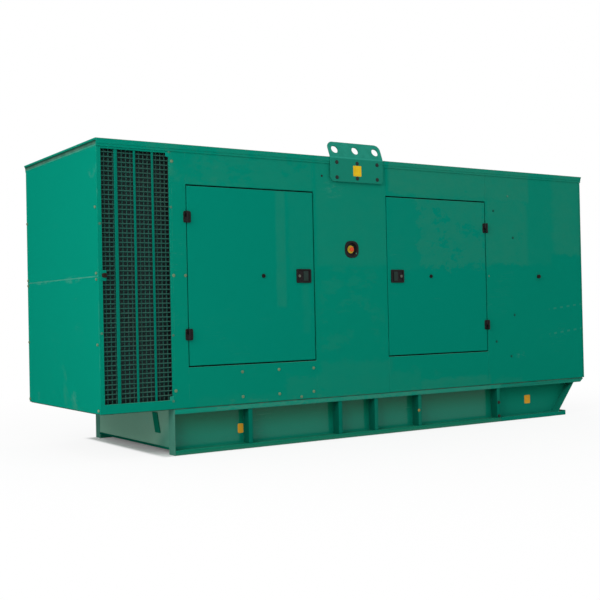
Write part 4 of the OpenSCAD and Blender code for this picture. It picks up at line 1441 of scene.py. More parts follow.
@dataclass
class Roof:
    """The roof: a pan whose ends slant in, over a set-back skirt and curb, and two straps."""

    edge: float = 0.006
    end_height: float = 0.024
    curb_height: float = 0.019
    curb_back: float = 0.0035
    end_back: float = 0.0102
    undercut: float = 0.009
    lip_top: float = 0.0145
    lip_back: float = 0.0043
    lip_slant: float = 0.0048
    strap: float = 0.045
    strap_inset: float = 0.012

    def tier(
        self, top: float, bottom: float, sides: float, ends: float, slant: float, edge: float
    ) -> Surface:
        """One tier of the roof.

        Ring k is the roof's outline moved in by the tier's set-back, by the rounded edge's
        inset, and on its ends by slant (d - top) / (bottom - top) at depth d.

        Args:
            top: Depth of its upper face.
            bottom: Depth of its lower face.
            sides: Set-back of the long sides.
            ends: Set-back of the ends.
            slant: How far the ends slant in.
            edge: Radius of the upper edge.

        Returns:
            A closed surface.
        """
        x, y = ROOF_HIGH[0], ROOF_HIGH[1]
        rect = rectangle(-x, -y, x, y)
        inset, depth = folds(top, bottom, edge, 0.0008, steps=6).T
        lean = slant * np.maximum(depth - top - edge, 0.0) / (bottom - top - edge)
        end_step, side_step = mitre(rect, soft(0, 1, 0, 1)), mitre(rect, soft(1, 0, 1, 0))
        flat = rect + inset[:, None, None] * mitre(rect) + (ends + lean)[:, None, None] * end_step
        return at_depths(flat + sides * side_step, depth)

    def build(self) -> None:
        """Makes the pan, its lip, skirt and curb, and the straps over the two lap joints."""
        deep = ROOF_HIGH[2] - ROOF_LOW[2]
        curb = deep - self.curb_height
        piece = Piece("roof_pan", on_top)
        piece.add(self.tier(0.0, self.end_height, 0.0, 0.0004, self.undercut, self.edge), ROOFING)
        # The lip's dark green is painted shade under the pan's edge.
        lip = self.tier(self.lip_top, self.end_height, 0.0025, self.lip_back, self.lip_slant, 0.0002)
        piece.add(lip, ROOF_LIP_SHADE)
        piece.add(self.tier(self.end_height - 0.002, curb, 0.00005, self.end_back, 0.0, 0.0002), ROOFING)
        piece.add(self.tier(curb - 0.001, deep, self.curb_back, self.end_back, 0.0, 0.0005), ROOFING)
        y = ROOF_HIGH[1] - self.strap_inset
        for seam in (corners("front_middle_panel")[1][0], corners("front_right_panel")[0][0]):
            strip = rectangle(seam - self.strap / 2, -y, seam + self.strap / 2, y)
            piece.add(slab(strip, -0.0016, 0.0, 0.0007), ROOFING)
        piece.make("roof_paint", ["roof"])


# ---- Doors ----

# How far the buffers and their posts stand from a door's hinge axis.
CATCH_REACH = 0.672
# Width and height of the slot for the key.
KEYHOLE = (0.0022, 0.012)
# Profiles as pairs of radius and depth: the buffer, the key's barrel and its plug.
BUFFER = (
    (0.016, 0.0005), (0.016, -0.006), (0.0135, -0.0095), (0.006, -0.010), (0.0055, -0.0075),
    (0.001, -0.0075))
BARREL = ((0.022, -0.001), (0.0215, -0.0055), (0.0195, -0.0068), (0.014, -0.0068), (0.0125, -0.0055))
PLUG = ((0.0118, -0.003), (0.0118, -0.0074), (0.0110, -0.0082), (0.001, -0.0082))


@dataclass
class Door(OnSide):
    """One hinged door with its lining, hinge leaves, paddle latch and buffer."""

    number: int
    rim: float = 0.024
    ease: float = 0.0018
    face_edge: float = 0.0070
    back_edge: float = 0.0025
    flange: float = 0.012
    latch_size: tuple[float, float] = (0.140, 0.112)
    latch_inset: float = 0.035

    def __post_init__(self) -> None:
        """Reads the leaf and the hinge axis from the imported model."""
        self.body = self.name(f"door_{self.number}")
        self.low, self.high = corners(self.body)
        self.way = 1 if self.number == 1 else -1
        hinged, self.free = (self.low[0], self.high[0])[::self.way]
        self.axis = hinged - self.way * DOOR_GAP / 2

    def build_leaf(self) -> None:
        """Makes the folded leaf: face, rounded sides, and a return flange round the lining."""
        rect = rectangle(self.low[0], self.low[2], self.high[0], self.high[2])
        rect = rect + self.ease * mitre(rect)
        rim, floor = self.rim + 0.002, DOOR_T - self.flange
        back = [[self.rim, DOOR_T], [rim, DOOR_T - 0.002], [rim, floor]]
        stations = np.concatenate([folds(0.0, DOOR_T, self.face_edge, self.back_edge, steps=6), back])
        piece = Piece(self.body + "_leaf", self.place).add(plate(rect, stations), DOOR_GREEN)
        inner, face = rect + (self.rim + 0.003) * mitre(rect), DOOR_T - 0.003
        piece.add(lining(inner, floor, face), FOAM).add(discs(inner, face), OXIDE)
        piece.make("enclosure_paint", [self.body], self.body)

    def build_fittings(self) -> None:
        """Makes the hinge leaves, the latch and the buffer."""
        piece = Piece(self.body + "_hardware", self.place)
        HingeHalf(self.axis, self.way, upper=True, reach=0.034).add_to(piece)
        self.add_latch(piece)
        spot = [self.axis + self.way * CATCH_REACH, 0.0, DOOR_MID_Z]
        piece.add(turned(BUFFER, 28).at(spot), RUBBER)
        piece.make("black_fitting", [self.body + "_fittings"], self.body)

    def add_latch(self, piece: Piece) -> None:
        """Adds the paddle latch: a dished pan, a sprung paddle and a key cylinder.

        The paddle's face is the height a + b u - c v^2 over its width u and height v, between
        -1 and 1, so that it tips in where the fingers go.

        Args:
            piece: The piece that it belongs to.
        """
        w, h = self.latch_size
        mid = self.free - self.way * (self.latch_inset + w / 2)
        dish = [[0.010, -0.010], [0.0105, -0.0095], [0.012, -0.002]]
        pan = np.concatenate([[[0.0, 0.001], [0.0, -0.006]], fold(0.003, -0.010)[::-1], dish])
        piece.add(tray(about(mid, DOOR_MID_Z, w, h), 0.010, pan), BLACK)
        u, v = np.meshgrid(np.linspace(-1, 1, 13), np.linspace(-1, 1, 13))
        paddle_mid, pw, ph = mid + self.way * w * 0.14, w * 0.155, h * 0.36
        height = 0.0075 + 0.0012 * u * self.way - 0.0022 * v**2 - 0.003 * np.clip(np.abs(u) - 0.8, 0, 1)
        piece.add(lid(np.stack([paddle_mid + u * pw, -height, DOOR_MID_Z + v * ph], axis=-1), -0.001), PADDLE)
        key = [mid - self.way * w * 0.30, 0.0, DOOR_MID_Z]
        piece.add(turned(BARREL, 28).at(key), BLACK)
        piece.add(turned(PLUG, 24).at(key), NICKEL)
        piece.add(slab(about(0.0, 0.0, *KEYHOLE), -0.0085, -0.0070, 0.0003).at(key), BLACK)

    def build(self) -> None:
        """Makes the whole door."""
        self.build_leaf()
        self.build_fittings()


def lid(top: Array, base: float) -> Surface:
    """A grid of points closed by straight sides down to a flat base.

    Args:
        top: The grid, (rows, columns, 3).
        base: Depth of the base.

    Returns:
        A closed surface.
    """
    rows, columns = top.shape[:2]
    index = np.arange(rows * columns).reshape(rows, columns)
    quads = np.stack([index[:-1, :-1], index[:-1, 1:], index[1:, 1:], index[1:, :-1]], axis=-1).reshape(-1, 4)
    rim = np.concatenate([index[0, :-1], index[:-1, -1], index[-1, :0:-1], index[:0:-1, 0]])
    foot = top.reshape(-1, 3)[rim] * [1, 0, 1] + [0, base, 0]
    lower = rows * columns + np.arange(len(rim))
    walls = np.stack([np.roll(rim, -1), rim, lower, np.roll(lower, -1)], axis=1)
    return Surface(np.concatenate([top.reshape(-1, 3), foot]), np.concatenate([quads, walls]), [lower[::-1]])


@dataclass
class HingeHalf:
    """One half of both hinges of a door: plates, swelling knuckles and screws.

    The plates lie on the given side of the axis. The door's half has the upper knuckle.
    """

    axis: float
    way: int
    upper: bool
    reach: float
    rise: float = 0.445
    height: float = 0.088
    barrel: float = 0.009
    gap: float = 0.0003
    proud: float = 0.020
    leaf: float = 0.004
    ease: float = 0.0012
    screw_rise: float = 0.024

    def knuckle(self) -> Surface:
        """The knuckle, about the hinge axis.

        Its section is the barrel's arc carried on by two straight flanks to a wide foot on the
        plate, and each ring is the section drawn in by its inset.

        Returns:
            A closed surface.
        """
        turn = np.linspace(math.radians(200), math.radians(-20), 16)
        arc = np.stack([self.barrel * np.cos(turn), -self.proud - self.barrel * np.sin(turn)], axis=1)
        foot = [[0.017, -self.leaf], [0.017, -0.0015], [0.0025, -0.0015], [0.0022, -0.013]]
        section = np.concatenate([arc, foot])
        z0, z1 = (self.gap / 2, self.height / 2) if self.upper else (-self.height / 2, -self.gap / 2)
        rings = np.array([[self.ease, z0], [0.0, z0 + self.ease], [0.0, z1 - self.ease], [self.ease, z1]])
        flat = section[None] + rings[:, :1, None] * mitre(section)[None]
        tall = np.broadcast_to(rings[:, 1, None], flat.shape[:2])
        return loft(np.concatenate([flat, tall[..., None]], axis=-1))

    def add_to(self, piece: Piece) -> None:
        """Adds this half of the lower and of the upper hinge to a piece."""
        edge = DOOR_GAP / 2
        outline = rectangle(edge, -self.height / 2, edge + self.reach, self.height / 2)
        outline = rounded(outline, np.array([0.001, 0.014, 0.014, 0.001]), 7)
        leaf = slab(outline, -self.leaf, 0.0005, self.ease)
        heights = (-self.screw_rise, self.screw_rise)
        screws = pan_head(0.0058, 0.0024).at([(edge + self.reach * 0.62, -self.leaf, z) for z in heights])
        mirror = np.array([self.way, 1, 1])
        for level in (-self.rise, self.rise):
            offset = np.array([self.axis, 0.0, DOOR_MID_Z + level])
            for surface, finish in ((leaf, BLACK), (self.knuckle(), BLACK), (screws, OXIDE)):
                piece.add(surface.mapped(lambda p: p * mirror + offset), finish)


@dataclass
class HingeBrackets(OnSide):
    """The fixed halves of one side's four hinges."""

    def build(self) -> None:
        """Makes them as one piece."""
        piece = Piece(self.name("hinge_plates"), self.place)
        for number in (1, 2):
            door = Door(self.side, number)
            HingeHalf(door.axis, -door.way, upper=False, reach=0.023).add_to(piece)
        piece.make("black_fitting", [self.name("hinge_brackets")])


@dataclass
class Catches:
    """The hold-open catches of both sides: painted plates with black posts."""

    plate_w: float = 0.045
    plate_h: float = 0.077
    proud: float = 0.025
    base: float = 0.0028
    grille_edge: float = 0.0175

    def build(self) -> None:
        """Makes all four."""
        piece = Piece("door_catch_posts")
        p = self.proud
        post = turned([
            [0.0165, 0.0], [0.0168, -0.010], [0.0172, -0.013], [0.018, -0.016], [0.018, -p + 0.004],
            [0.0165, -p + 0.001], [0.013, -p], [0.007, -p], [0.006, -p + 0.003], [0.001, -p + 0.003]], 28)
        shorter = post.mapped(lambda q: q * [1, (p - self.base) / p, 1])
        for side in Side:
            for number in (1, 2):
                door = Door(side, number)
                x = door.axis - door.way * CATCH_REACH
                left = x - self.plate_w / 2
                if number == 1:
                    left = min(left, LEFT + self.grille_edge)
                low, high = DOOR_MID_Z - self.plate_h / 2, DOOR_MID_Z + self.plate_h / 2
                rect = rectangle(left, low, left + self.plate_w, high)
                piece.on(on_side(side)).add(tablet(rect, 0.006, -0.003, 0.0, 0.001), ENCLOSURE)
                piece.add(shorter.at([x, -self.base, DOOR_MID_Z]), BROWN_RUBBER)
        piece.make("black_fitting", ["door_catches"])


# ---- Emergency stop ----


@dataclass
class EmergencyStop:
    """The recessed emergency stop on the front."""

    half_width: float = 0.071
    squareness: float = 2.7
    cup: float = 0.054
    cup_depth: float = 0.015
    disc: float = 0.0325
    button: float = 0.020
    dome: float = 0.010
    stem: float = 0.007
    # A pale screw head on the rim's lower right, put where the bezel shows a glint: a painted highlight.
    plug: tuple[float, float, float] = (0.045, -0.0042, -0.034)

    def build(self) -> None:
        """Makes the housing and, on its own body, the mushroom button."""
        mid, place, d = middle("emergency_stop_housing"), on_side(Side.FRONT), self.cup_depth
        ring = [
            [self.disc, d + 0.001], [self.disc, d - 0.0012], [self.disc - 0.001, d - 0.002],
            [0.012, d - 0.002], [0.011, d + 0.001]]
        piece = Piece("emergency_stop_bezel", place)
        piece.add(self.bezel().at(mid), BLACK)
        piece.add(turned(ring, 40).at(mid), DISC)
        # The pale screw head on the rim is a painted highlight, put where the bezel shows a glint.
        piece.add(pan_head(0.007, 0.0012).at(mid + self.plug), PALE_ZINC)
        piece.make("black_bezel", ["emergency_stop_housing"])
        front, back = [WALL_Y + y[1] for y in corners("emergency_stop_button")]
        r, t, stem = self.button, self.dome, self.stem
        cap = np.array([[0.9, 1.0], [1.0, 0.8], [1.0, 0.4], [0.93, 0.14], [0.75, 0.03], [0.4, 0.0]])
        profile = [[stem, back], [stem, front + t], *(cap * [r, t] + [0, front]), [0.001, front]]
        knob = Piece("emergency_stop_mushroom", place).add(turned(profile, 40).at(mid), BUTTON)
        knob.make("red_button", ["emergency_stop_button"], "emergency_stop_button")

    def bezel(self) -> Surface:
        """The bezel and its cup.

        Rings at one set of angles: the squarish outline |x|^n + |z|^n = w^n, drawn in over its
        rounded rim, becomes the round mouth of the cup and runs down its wall to the floor.

        Returns:
            A closed surface about the origin.
        """
        angle, n, deep = round_angles(72), self.squareness, self.cup_depth
        cosine, sine = np.cos(angle), np.sin(angle)
        square = self.half_width / (np.abs(cosine) ** n + np.abs(sine) ** n) ** (1 / n)
        mouth = np.full_like(angle, self.cup)
        levels = (
            (mouth + 0.0055, deep + 0.010), (mouth + 0.0055, 0.0005), (square, 0.0005), (square, -0.0028),
            (square - 0.0012, -0.0044), (square - 0.004, -0.005), (mouth + 0.004, -0.005),
            (mouth + 0.001, -0.0042), (mouth, -0.0025), (mouth - 0.002, deep - 0.002), (mouth - 0.004, deep))
        flat = np.array([reach[:, None] * rays(angle) for reach, _ in levels])
        return at_depths(flat, np.array([depth for _, depth in levels]))


# ---- Lifting brackets ----


@dataclass
class LiftingBracket(OnSide):
    """A plate folded over the roof's edge, with three eyes, bolts and a plain yellow plate."""

    thickness: float = 0.012
    leg: float = 0.204
    arm: float = 0.139
    lean: float = math.radians(22)
    bend: float = 0.020
    eye: float = 0.034
    pitch: float = 0.2105
    eye_edge: float = 0.072
    eye_low: float = 0.044
    upper_corner: float = 0.054
    lower_corner: float = 0.035
    packer_inset: float = 0.012
    bolt_drops: tuple[float, float] = (0.170, 0.0445)
    label_drops: tuple[float, float] = (0.152, 0.064)
    label_width: float = 0.084
    bolt_size: tuple[float, float] = (0.024, 0.0052)
    bolt_lift: float = 0.0016
    washer_size: tuple[float, float] = (0.0165, 0.002)

    def __post_init__(self) -> None:
        """Reads the bracket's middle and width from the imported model."""
        low, high = corners(self.name("lifting_bracket"))
        self.mid, self.half = (low[0] + high[0]) / 2, (high[0] - low[0]) / 2
        self.back, self.top = ROOF_HIGH[1:]
        self.eye_height = self.arm - self.eye_edge
        self.eyes_low = self.eye_height - self.eye_low

    def bent(self, points: Array, height: float) -> Array:
        """Bends the flat plate over the roof's edge.

        Along the plate the slope eases from upright to the lean between -bend and +bend, and a
        point's place is the running sum of the slope's direction, plus its height along the
        normal.

        Args:
            points: Across and along the plate, (n, 2); along is 0 at the fold.
            height: Distance out from the inner face.

        Returns:
            Points in the frame, (n, 3).
        """
        s = np.linspace(-self.leg - 0.01, self.arm + 0.01, 1401)
        ease = np.clip((s + self.bend) / (2 * self.bend), 0, 1)
        slope = self.lean * ease * ease * (3 - 2 * ease)
        step = s[1] - s[0]
        inward, up = np.cumsum(np.sin(slope)) * step, np.cumsum(np.cos(slope)) * step
        foot = np.interp(-self.leg, s, up)
        at = points[:, 1]
        angle = np.interp(at, s, slope)
        y = self.back - (np.interp(at, s, inward) - height * np.cos(angle))
        z = self.top - self.leg + (np.interp(at, s, up) - foot + height * np.sin(angle))
        return np.stack([self.mid + points[:, 0], self.side.value * y, z], axis=1)

    def eye_cells(self) -> tuple[list[Array], list[Array]]:
        """A cell round each eye: its rim and the cell's outline, joined ray by ray.

        An outer cell's upper corner is round: along a ray of direction d the arc about the pivot
        p lies at d . p + sqrt((d . p)^2 - p . p + radius^2).

        Returns:
            The rings of points, two per cell, and each cell's faces.
        """
        half, edge = self.pitch / 2, self.half - self.pitch
        turns = [math.atan2(y, x) for x in (half, edge) for y in (self.eye_edge, -self.eye_low)]
        angle = np.concatenate([round_angles(64), turns, [math.pi - turn for turn in turns]])
        angle = np.unique(np.round(np.mod(angle, 2 * math.pi), 9))
        ray, radius = rays(angle), self.upper_corner
        rings, faces = [], []
        for i in (-1, 0, 1):
            right, left = (edge if i == 1 else half), (edge if i == -1 else half)
            reach = box_reach(angle, right, self.eye_edge, left, self.eye_low)
            if i:
                pivot = np.array([i * (edge - radius), self.eye_edge - radius])
                along = ray @ pivot
                arc = along + np.sqrt(np.maximum(along**2 - pivot @ pivot + radius**2, 0))
                hit = ray * arc[:, None]
                in_corner = (i * (hit[:, 0] - pivot[0]) > 0) & (hit[:, 1] > pivot[1])
                reach = np.where(in_corner, arc, reach)
            hub = np.array([i * self.pitch, self.eye_height])
            a = len(rings) * len(angle) + np.arange(len(angle))
            b = a + len(angle)
            rings += [hub + self.eye * ray, hub + reach[:, None] * ray]
            faces.append(np.stack([a, b, np.roll(b, -1), np.roll(a, -1)], axis=1))
        return rings, faces

    def flat(self) -> tuple[Array, Array]:
        """The plate before it is bent: a cell round each eye, and rows below them.

        Returns:
            Corners across and along the plate, and faces.
        """
        rings, quads = self.eye_cells()
        points = np.concatenate(rings)
        base = np.abs(points[:, 1] - self.eyes_low) < 1e-7
        across = np.unique(np.round(points[base, 0], 7))
        fall = np.maximum(np.abs(across) - (self.half - self.lower_corner), 0)
        corner = self.lower_corner - np.sqrt(np.maximum(self.lower_corner**2 - fall**2, 0))
        steps = [*np.linspace(self.eyes_low, -self.bend, 9), -self.leg * 0.5, -self.leg + self.lower_corner]
        rows = [np.stack([across, np.full_like(across, s)], axis=1) for s in steps]
        rows.append(np.stack([across, -self.leg + np.minimum(corner, self.lower_corner * 0.97)], axis=1))
        index = len(points) + np.arange(len(rows) * len(across)).reshape(len(rows), len(across))
        cells = [index[:-1, :-1], index[1:, :-1], index[1:, 1:], index[:-1, 1:]]
        quads.append(np.stack(cells, axis=-1).reshape(-1, 4))
        points = np.concatenate([points, *rows])
        _, first, same = np.unique(np.round(points, 6), axis=0, return_index=True, return_inverse=True)
        return points[first], same.reshape(-1)[np.concatenate(quads)]

    def build(self) -> None:
        """Makes the plate with its packer, and its bolts, washers and yellow plate."""
        points, faces = self.flat()
        piece = Piece(self.name("lifting_plate"))
        piece.add(thickened(points, faces, self.bent, self.thickness), BRACKET)
        inset, foot, outer = self.packer_inset, self.top - self.leg, WALL_Y - self.back
        packer = rectangle(self.mid - self.half + inset, foot + inset, self.mid + self.half - inset, WALL_TOP)
        piece.on(self.place).add(plate(packer, np.array([[0.0, outer], [0.0, 0.0]])), BRACKET)
        piece.make("bracket_paint", [self.name("lifting_bracket")], bevel=0.0016)
        face = outer - self.thickness
        heights = [self.top - drop for drop in self.bolt_drops]
        spot = np.array([(self.mid + i * self.pitch, face, z) for i in (-1, 0, 1) for z in heights])
        bolts = Piece(self.name("bracket_bolts"), self.place)
        bolts.add(hex_bolt(*self.bolt_size).at(spot - [0, self.bolt_lift, 0]), BROWNED)
        bolts.add(washer(*self.washer_size).at(spot), BROWNED)
        low, high = [self.top - drop for drop in self.label_drops]
        label = rectangle(self.mid - self.label_width / 2, low, self.mid + self.label_width / 2, high)
        bolts.add(sticker(label, 0.005, face, 0.0010), YELLOW)
        bolts.make("black_fitting")


# ---- Base frame ----


@dataclass
class BaseFrame:
    """The welded base frame under the enclosure."""

    flange: float = 0.036
    web: float = 0.008
    rib: float = 0.040
    edge: float = 0.006
    sheet_edge: float = 0.002
    lap: float = 0.001
    strip_lean: float = 0.050
    hem: float = 0.018
    foot_rise: float = 0.010
    foot_back: tuple[float, float] = (0.014, 0.022)
    rib_steps: tuple[float, ...] = (0.668, 1.535, 1.911, 2.394)
    slope_steps: tuple[float, float] = (4.130, 4.356)
    foot_step: float = 4.230
    head_step: float = 4.450
    joint_heights: tuple[float, float] = (0.178, 0.052)
    brass_step: tuple[float, float] = (0.014, 0.172)
    bolt_size: tuple[float, float] = (0.024, 0.010)
    washer_size: tuple[float, float] = (0.015, 0.002)
    labels: tuple[tuple[float, ...], ...] = ((1.202, 0.151, 0.051, 0.074), (4.379, 0.173, 0.077, 0.080))

    def __post_init__(self) -> None:
        """Reads the rails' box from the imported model."""
        low, high = corners("front_base_rail")
        self.outer, self.inner = -low[1], -high[1]
        self.height, self.joint = high[2], high[0]
        self.left = low[0] - self.web
        self.slope = tuple(self.left + step for step in self.slope_steps)
        self.end = corners("front_base_extension")[1][0]
        self.low, self.top = self.flange - self.lap, self.height - self.flange + self.lap
        # Depths behind the walls of the flanges' face, the webs' face and the webs' back.
        self.face, self.back = WALL_Y - self.outer, WALL_Y - self.inner
        self.web_face, self.left_face = self.back - self.web, WALL_X + self.left

    def section(self) -> Array:
        """The rail's section in Y and Z: a plate web between two deep flanges."""
        o, i, h, f = self.outer, self.inner, self.height, self.flange
        face = i + self.web
        sharp = [[-o, 0], [-i, 0], [-i, h], [-o, h], [-o, h - f], [-face, h - f], [-face, f], [-o, f]]
        radii = np.array([0.005, 0.004, 0.004, 0.005, 0.004, 0.003, 0.003, 0.004])
        return rounded(np.array(sharp), radii, 4)

    def build_rails(self) -> None:
        """Makes the two rails."""
        for side in Side:
            piece = Piece(f"{side.word}_rail", flipped(side))
            piece.add(swept(self.section(), (self.left + self.web, self.joint)), BASE)
            piece.make("base_paint", [f"{side.word}_base_rail"])

    def build_stiffeners(self) -> None:
        """Makes the stiffeners, the plates that close the rails' left ends, and their welds."""
        piece = Piece("rail_stiffeners")
        (foot, head), w, both = self.slope, self.web, soft(right=1, left=1)
        end = np.array([[foot - w, self.low], [foot, self.low], [head, self.top], [head - w, self.top]])
        lefts = [self.left + step - self.rib / 2 for step in self.rib_steps] + [self.joint - self.rib]
        behind, beside = self.web_face + self.lap, self.web_face - self.lap
        for side in Side:
            piece.on(on_side(side))
            for x in lefts:
                rect = rectangle(x, self.low, x + self.rib, self.top)
                piece.add(slab(rect, self.face + w, behind, self.edge, both), RIB)
                for across in (x - self.lap, x + self.rib + self.lap):
                    start = (across, beside, self.flange)
                    piece.add(weld(start, (across, beside, self.height - self.flange)), RIB)
            piece.add(slab(end, self.face, behind, self.sheet_edge, both), EXTENSION)
            close = rectangle(-self.outer, 0.0, -self.inner, self.height)
            plate_end = slab(close, self.left_face, self.left_face + w, self.sheet_edge)
            piece.on(flipped(side)).add(plate_end.mapped(on_end(End.LEFT)), CLOSING)
        piece.make("base_paint", ["base_stiffeners"])

    def build_extensions(self) -> None:
        """Makes the bolted right-hand ends: webs with a slope, flanges and a turned-up foot."""
        f, h, joint, (slope_low, slope_high) = self.flange, self.height, self.joint, self.slope
        foot, head_low = self.left + self.foot_step, self.left + self.head_step
        lip, (near, far) = f + self.foot_rise, self.foot_back
        web = np.array([[joint, self.low], [slope_low, self.low], [slope_high, self.top], [joint, self.top]])
        lower = [[joint, 0.0], [foot, 0.0], [foot, lip], [foot - near, lip], [foot - far, f], [joint, f]]
        upper = [[joint, h - f], [head_low, h - f], [self.end, h], [joint, h]]
        flanges = ((lower, [0.001, 0.004, 0.004, 0.004, 0.01, 0.001]), (upper, [0.001, 0.004, 0.004, 0.001]))
        bolts = np.array([(joint - self.rib * 0.5, self.face + self.web, z) for z in self.joint_heights])
        for side in Side:
            piece = Piece(f"{side.word}_extension", on_side(side))
            piece.add(slab(web, self.web_face, self.back, self.sheet_edge, soft(right=1)), EXTENSION)
            for outline, radii in flanges:
                block = rounded(np.array(outline), np.array(radii), 4)
                piece.add(slab(block, self.face, self.back, 0.0018), EXTENSION)
            for head in (hex_bolt(*self.bolt_size), washer(*self.washer_size)):
                piece.add(head.at(bolts), OXIDE)
            piece.make("base_paint", [f"{side.word}_base_extension"])

    def build_cross_plates(self) -> None:
        """Makes the left cross plate with its folded lower edge, the slope and the cover strip."""
        bottom = corners("base_end_plates")[0][2]
        w, i, h, left = self.web, self.inner, self.height, self.left_face
        piece = Piece("cross_plates", on_end(End.LEFT))
        cross = slab(rectangle(-i, bottom, i, h), left, left + w, self.sheet_edge, soft(bottom=1))
        piece.add(cross, LIGHTENED_BASE_END)
        hem = rectangle(-i + self.lap, bottom, i - self.lap, bottom + self.hem)
        piece.add(slab(hem, left - 0.005, left + 0.030, 0.0045, soft(bottom=1, top=1)), RIB)
        (slope_low, slope_high), knee = self.slope, h - self.flange
        sharp = np.array([
            [slope_low - w, self.low], [slope_low, self.low], [slope_high, knee], [slope_high, h - self.lap],
            [slope_high - w, h - self.lap], [slope_high - w, knee]])
        section = rounded(sharp, np.array([0.001, 0.001, 0.02, 0.001, 0.001, 0.014]), 5)
        sheet = plate(section, np.array([[0.0, self.back], [0.0, WALL_Y + i]]))
        piece.on(on_side(Side.FRONT)).add(sheet, EXTENSION)
        piece.make("base_paint", ["base_end_plates"])
        low, high = corners("base_cover_strip")
        lean = self.strip_lean * np.array([[-0.4, 0], [-0.4, 0], [0.6, 0], [0.6, 0]])
        rect = rectangle(low[1], low[2], high[1], high[2]) + lean
        strip = Piece("dark_cover_strip", on_end(End.LEFT))
        strip.add(tablet(rect, 0.006, WALL_X + low[0], WALL_X + high[0], 0.002), STRIP)
        strip.make("base_paint", ["base_cover_strip"])

    def build_trim(self) -> None:
        """Makes the sealant line on the rails, the plain orange plates and one brass bolt a side."""
        piece = Piece("sealant_lines")
        line = rectangle(self.left, self.height + 0.0002, self.end - 0.02, BODY_Z + 0.0004)
        for side in Side:
            piece.on(on_side(side)).add(plate(line, np.array([[0.0, 0.0062], [0.0, 0.016]])), SEALANT)
        deep, (back, height) = self.web_face, self.brass_step
        bolt = [self.left + self.rib_steps[3] - back, self.face + self.web, height]
        for side in Side:
            piece.on(on_side(side))
            for x, *rest in self.labels:
                piece.add(sticker(about(LEFT + x, *rest), 0.011, deep, 0.0012), ORANGE)
            piece.add(pan_head(0.013, 0.006).at(bolt), BRASS)
        piece.make("base_paint")

    def build(self) -> None:
        """Makes the whole frame."""
        self.build_rails()
        self.build_stiffeners()
        self.build_extensions()
        self.build_cross_plates()
        self.build_trim()


def weld(start: tuple[float, ...], end: tuple[float, ...], radius: float = 0.004) -> Surface:
    """A weld bead from one point up to another.

    Rings of radius r (1 + 0.16 sin(2 pi s / 9 mm)) along the joint, s being the way along it.

    Args:
        start: Lower end, (across, depth, up).
        end: Upper end.
        radius: The bead's mean radius.

    Returns:
        A closed surface.
    """
    s = np.linspace(0, 1, 64)
    way, wave, swell = np.subtract(end, start), 0.009, 0.16
    r = radius * (1 + swell * np.sin(s * np.linalg.norm(way) / wave * 2 * math.pi))
    path = np.array(start)[None] + s[:, None] * way[None]
    ring = np.pad(rays(round_angles(6)), ((0, 0), (0, 1)))
    return loft(path[:, None] + r[:, None, None] * ring[None])


# ---- Studio ----

WHITE: Colour = (1.0, 1.0, 1.0)
PALE: Colour = (0.86, 0.86, 0.86)


@dataclass(frozen=True)
class Lamp:
    """A square soft lamp: where it hangs and points, its side in metres, its power in watts."""

    name: str
    place: Colour
    target: Colour
    size: float
    power: float

    def build(self) -> None:
        """Makes the lamp."""
        light = bpy.data.lights.new(self.name, "AREA")
        light.size, light.energy = self.size, self.power
        lamp = stand(self.name, light)
        lamp.location = self.place
        ahead = Vector(self.target) - Vector(self.place)
        lamp.rotation_euler = ahead.to_track_quat("-Z", "Y").to_euler()


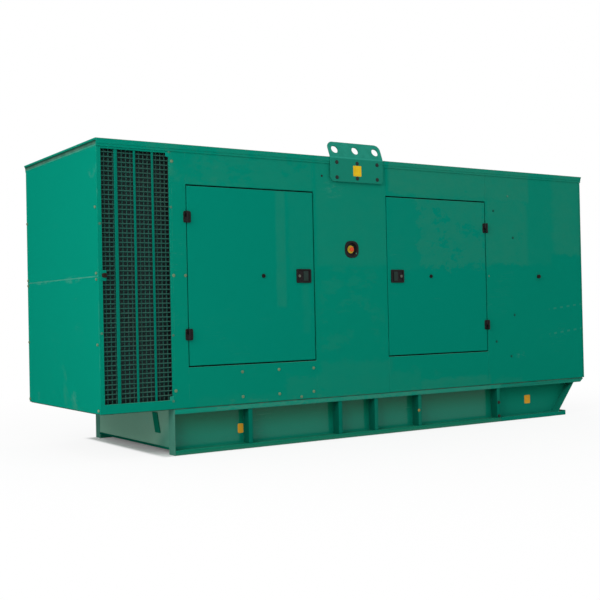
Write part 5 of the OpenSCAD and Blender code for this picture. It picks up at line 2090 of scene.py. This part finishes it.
@dataclass
class Studio:
    """Floor, surroundings, lamps and camera."""

    eye: tuple[float, float, float] = (-5.3437, -7.6116, 1.0562)
    yaw: float = 0.5846
    pitch: float = 0.0117
    roll: float = -0.0209
    lens: float = 60.795
    sensor: float = 36.0
    sight: float = 200.0
    floor_reach: float = 60.0
    # The floor is dark between these distances from the middle, and pale far off.
    under_x: tuple[float, float] = (2.0, 2.1)
    under_y: tuple[float, float] = (0.74, 0.82)
    near_far: tuple[float, float] = (1.0, 6.0)
    lamps: tuple[Lamp, ...] = (
        Lamp("key", (-11.0, -5.5, 6.0), (-1.5, 0.0, 1.2), 5.0, 700.0),
        Lamp("fill", (4.0, -10.0, 5.0), (0.5, 0.0, 1.2), 6.0, 60.0),
        Lamp("low", (-8.5, -2.0, 0.8), (-2.0, 0.0, 0.3), 2.5, 45.0))

    def build_camera(self) -> None:
        """Makes the camera, looking along its yaw and pitch and rolled about its own axis."""
        camera = bpy.data.cameras.new("camera")
        camera.lens, camera.sensor_width, camera.clip_end = self.lens, self.sensor, self.sight
        sin_yaw, cos_yaw = math.sin(self.yaw), math.cos(self.yaw)
        level = math.cos(self.pitch)
        ahead = Vector((sin_yaw * level, cos_yaw * level, math.sin(self.pitch)))
        right = Vector((cos_yaw, -sin_yaw, 0.0))
        up = right.cross(ahead)
        turned_right = right * math.cos(self.roll) + up * math.sin(self.roll)
        turned_up = up * math.cos(self.roll) - right * math.sin(self.roll)
        columns = Matrix((turned_right, turned_up, -ahead)).transposed()
        made = stand("camera", camera)
        made.matrix_world = Matrix.Translation(self.eye) @ columns.to_4x4()
        bpy.context.scene.camera = made

    def plain_view(self, sheet: Sheet) -> Socket:
        """1 for what the eye, a mirror or glass sees directly, 0 for light that falls on things."""
        path = sheet.add("LightPath").outputs
        return sheet.most(path["Is Camera Ray"], path["Is Transmission Ray"], path["Is Glossy Ray"])

    def build_world(self) -> None:
        """Makes the surroundings: white to the eye, softer on the paint."""
        world = bpy.data.worlds.new("surroundings")
        world.use_nodes = True
        bpy.context.scene.world = world
        sheet = Sheet(world.node_tree)
        up = sheet.split(sheet.add("TexCoord").outputs["Generated"])[2]
        lit = sheet.most(self.plain_view(sheet), sheet.ramp(up, -0.2, 0.9, 0.38, 0.86))
        shine = sheet.add("Background", None, Color=WHITE, Strength=lit)
        sheet.add("OutputWorld", None, Surface=shine.outputs[0])

    def build_floor(self) -> None:
        """Makes the pale floor: it takes the shadow near the set and is white further off."""
        r = self.floor_reach
        mesh = bpy.data.meshes.new("floor")
        mesh.from_pydata([(-r, -r, 0), (r, -r, 0), (r, r, 0), (-r, r, 0)], [], [(0, 1, 2, 3)])
        material = bpy.data.materials.new("pale_floor")
        material.use_nodes = True
        sheet = Sheet(material.node_tree)
        where = sheet.add("TexCoord").outputs["Object"]
        far = sheet.add("VectorMath", {"operation": "LENGTH"}, i0=where).outputs["Value"]
        x, y, _ = sheet.split(where)
        clear = sheet.most(sheet.ramp(sheet.size(x), *self.under_x), sheet.ramp(sheet.size(y), *self.under_y))
        fade = sheet.times(sheet.ramp(far, *self.near_far, 0.86, 1.0), sheet.ramp(clear, 0.0, 1.0, 0.15, 1.0))
        white = sheet.times(fade, self.plain_view(sheet))
        matt = sheet.add("BsdfDiffuse", None, Color=PALE).outputs[0]
        glow = sheet.add("Emission", None, Color=WHITE, Strength=1.0).outputs[0]
        both = sheet.add("MixShader", None, i0=white, i1=matt, i2=glow)
        sheet.add("OutputMaterial", None, Surface=both.outputs[0])
        mesh.materials.append(material)
        stand("floor", mesh)

    def build(self) -> None:
        """Makes the studio."""
        self.build_camera()
        self.build_world()
        self.build_floor()
        for lamp in self.lamps:
            lamp.build()
        bpy.context.scene.view_settings.view_transform = "Standard"


def paint_packed(names: dict[str, Finish]) -> None:
    """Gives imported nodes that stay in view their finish.

    Args:
        names: Finish by node name.
    """
    for name, finish in names.items():
        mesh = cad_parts[name].data
        mesh.materials.clear()
        mesh.materials.append(finish.material())
        LOG.info("%s: packed node in %s", name, finish.name)


def main() -> None:
    """Builds the pieces in order, dresses them and sets up the studio."""
    logging.basicConfig(level=logging.INFO, format="%(message)s")
    Studio().build()
    for side in Side:
        SideWall(side).build()
        Grille(side).build()
        HingeBrackets(side).build()
        LiftingBracket(side).build()
        for number in (1, 2):
            Door(side, number).build()
    for end in End:
        EndWall(end).build()
    Roof().build()
    Catches().build()
    EmergencyStop().build()
    BaseFrame().build()
    paint_packed({"floor_deck": DECKING, "base_cross_members": DECKING, "grille_baffles": DUSTY_FOAM})


if __name__ == "__main__":
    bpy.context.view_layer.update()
    main()
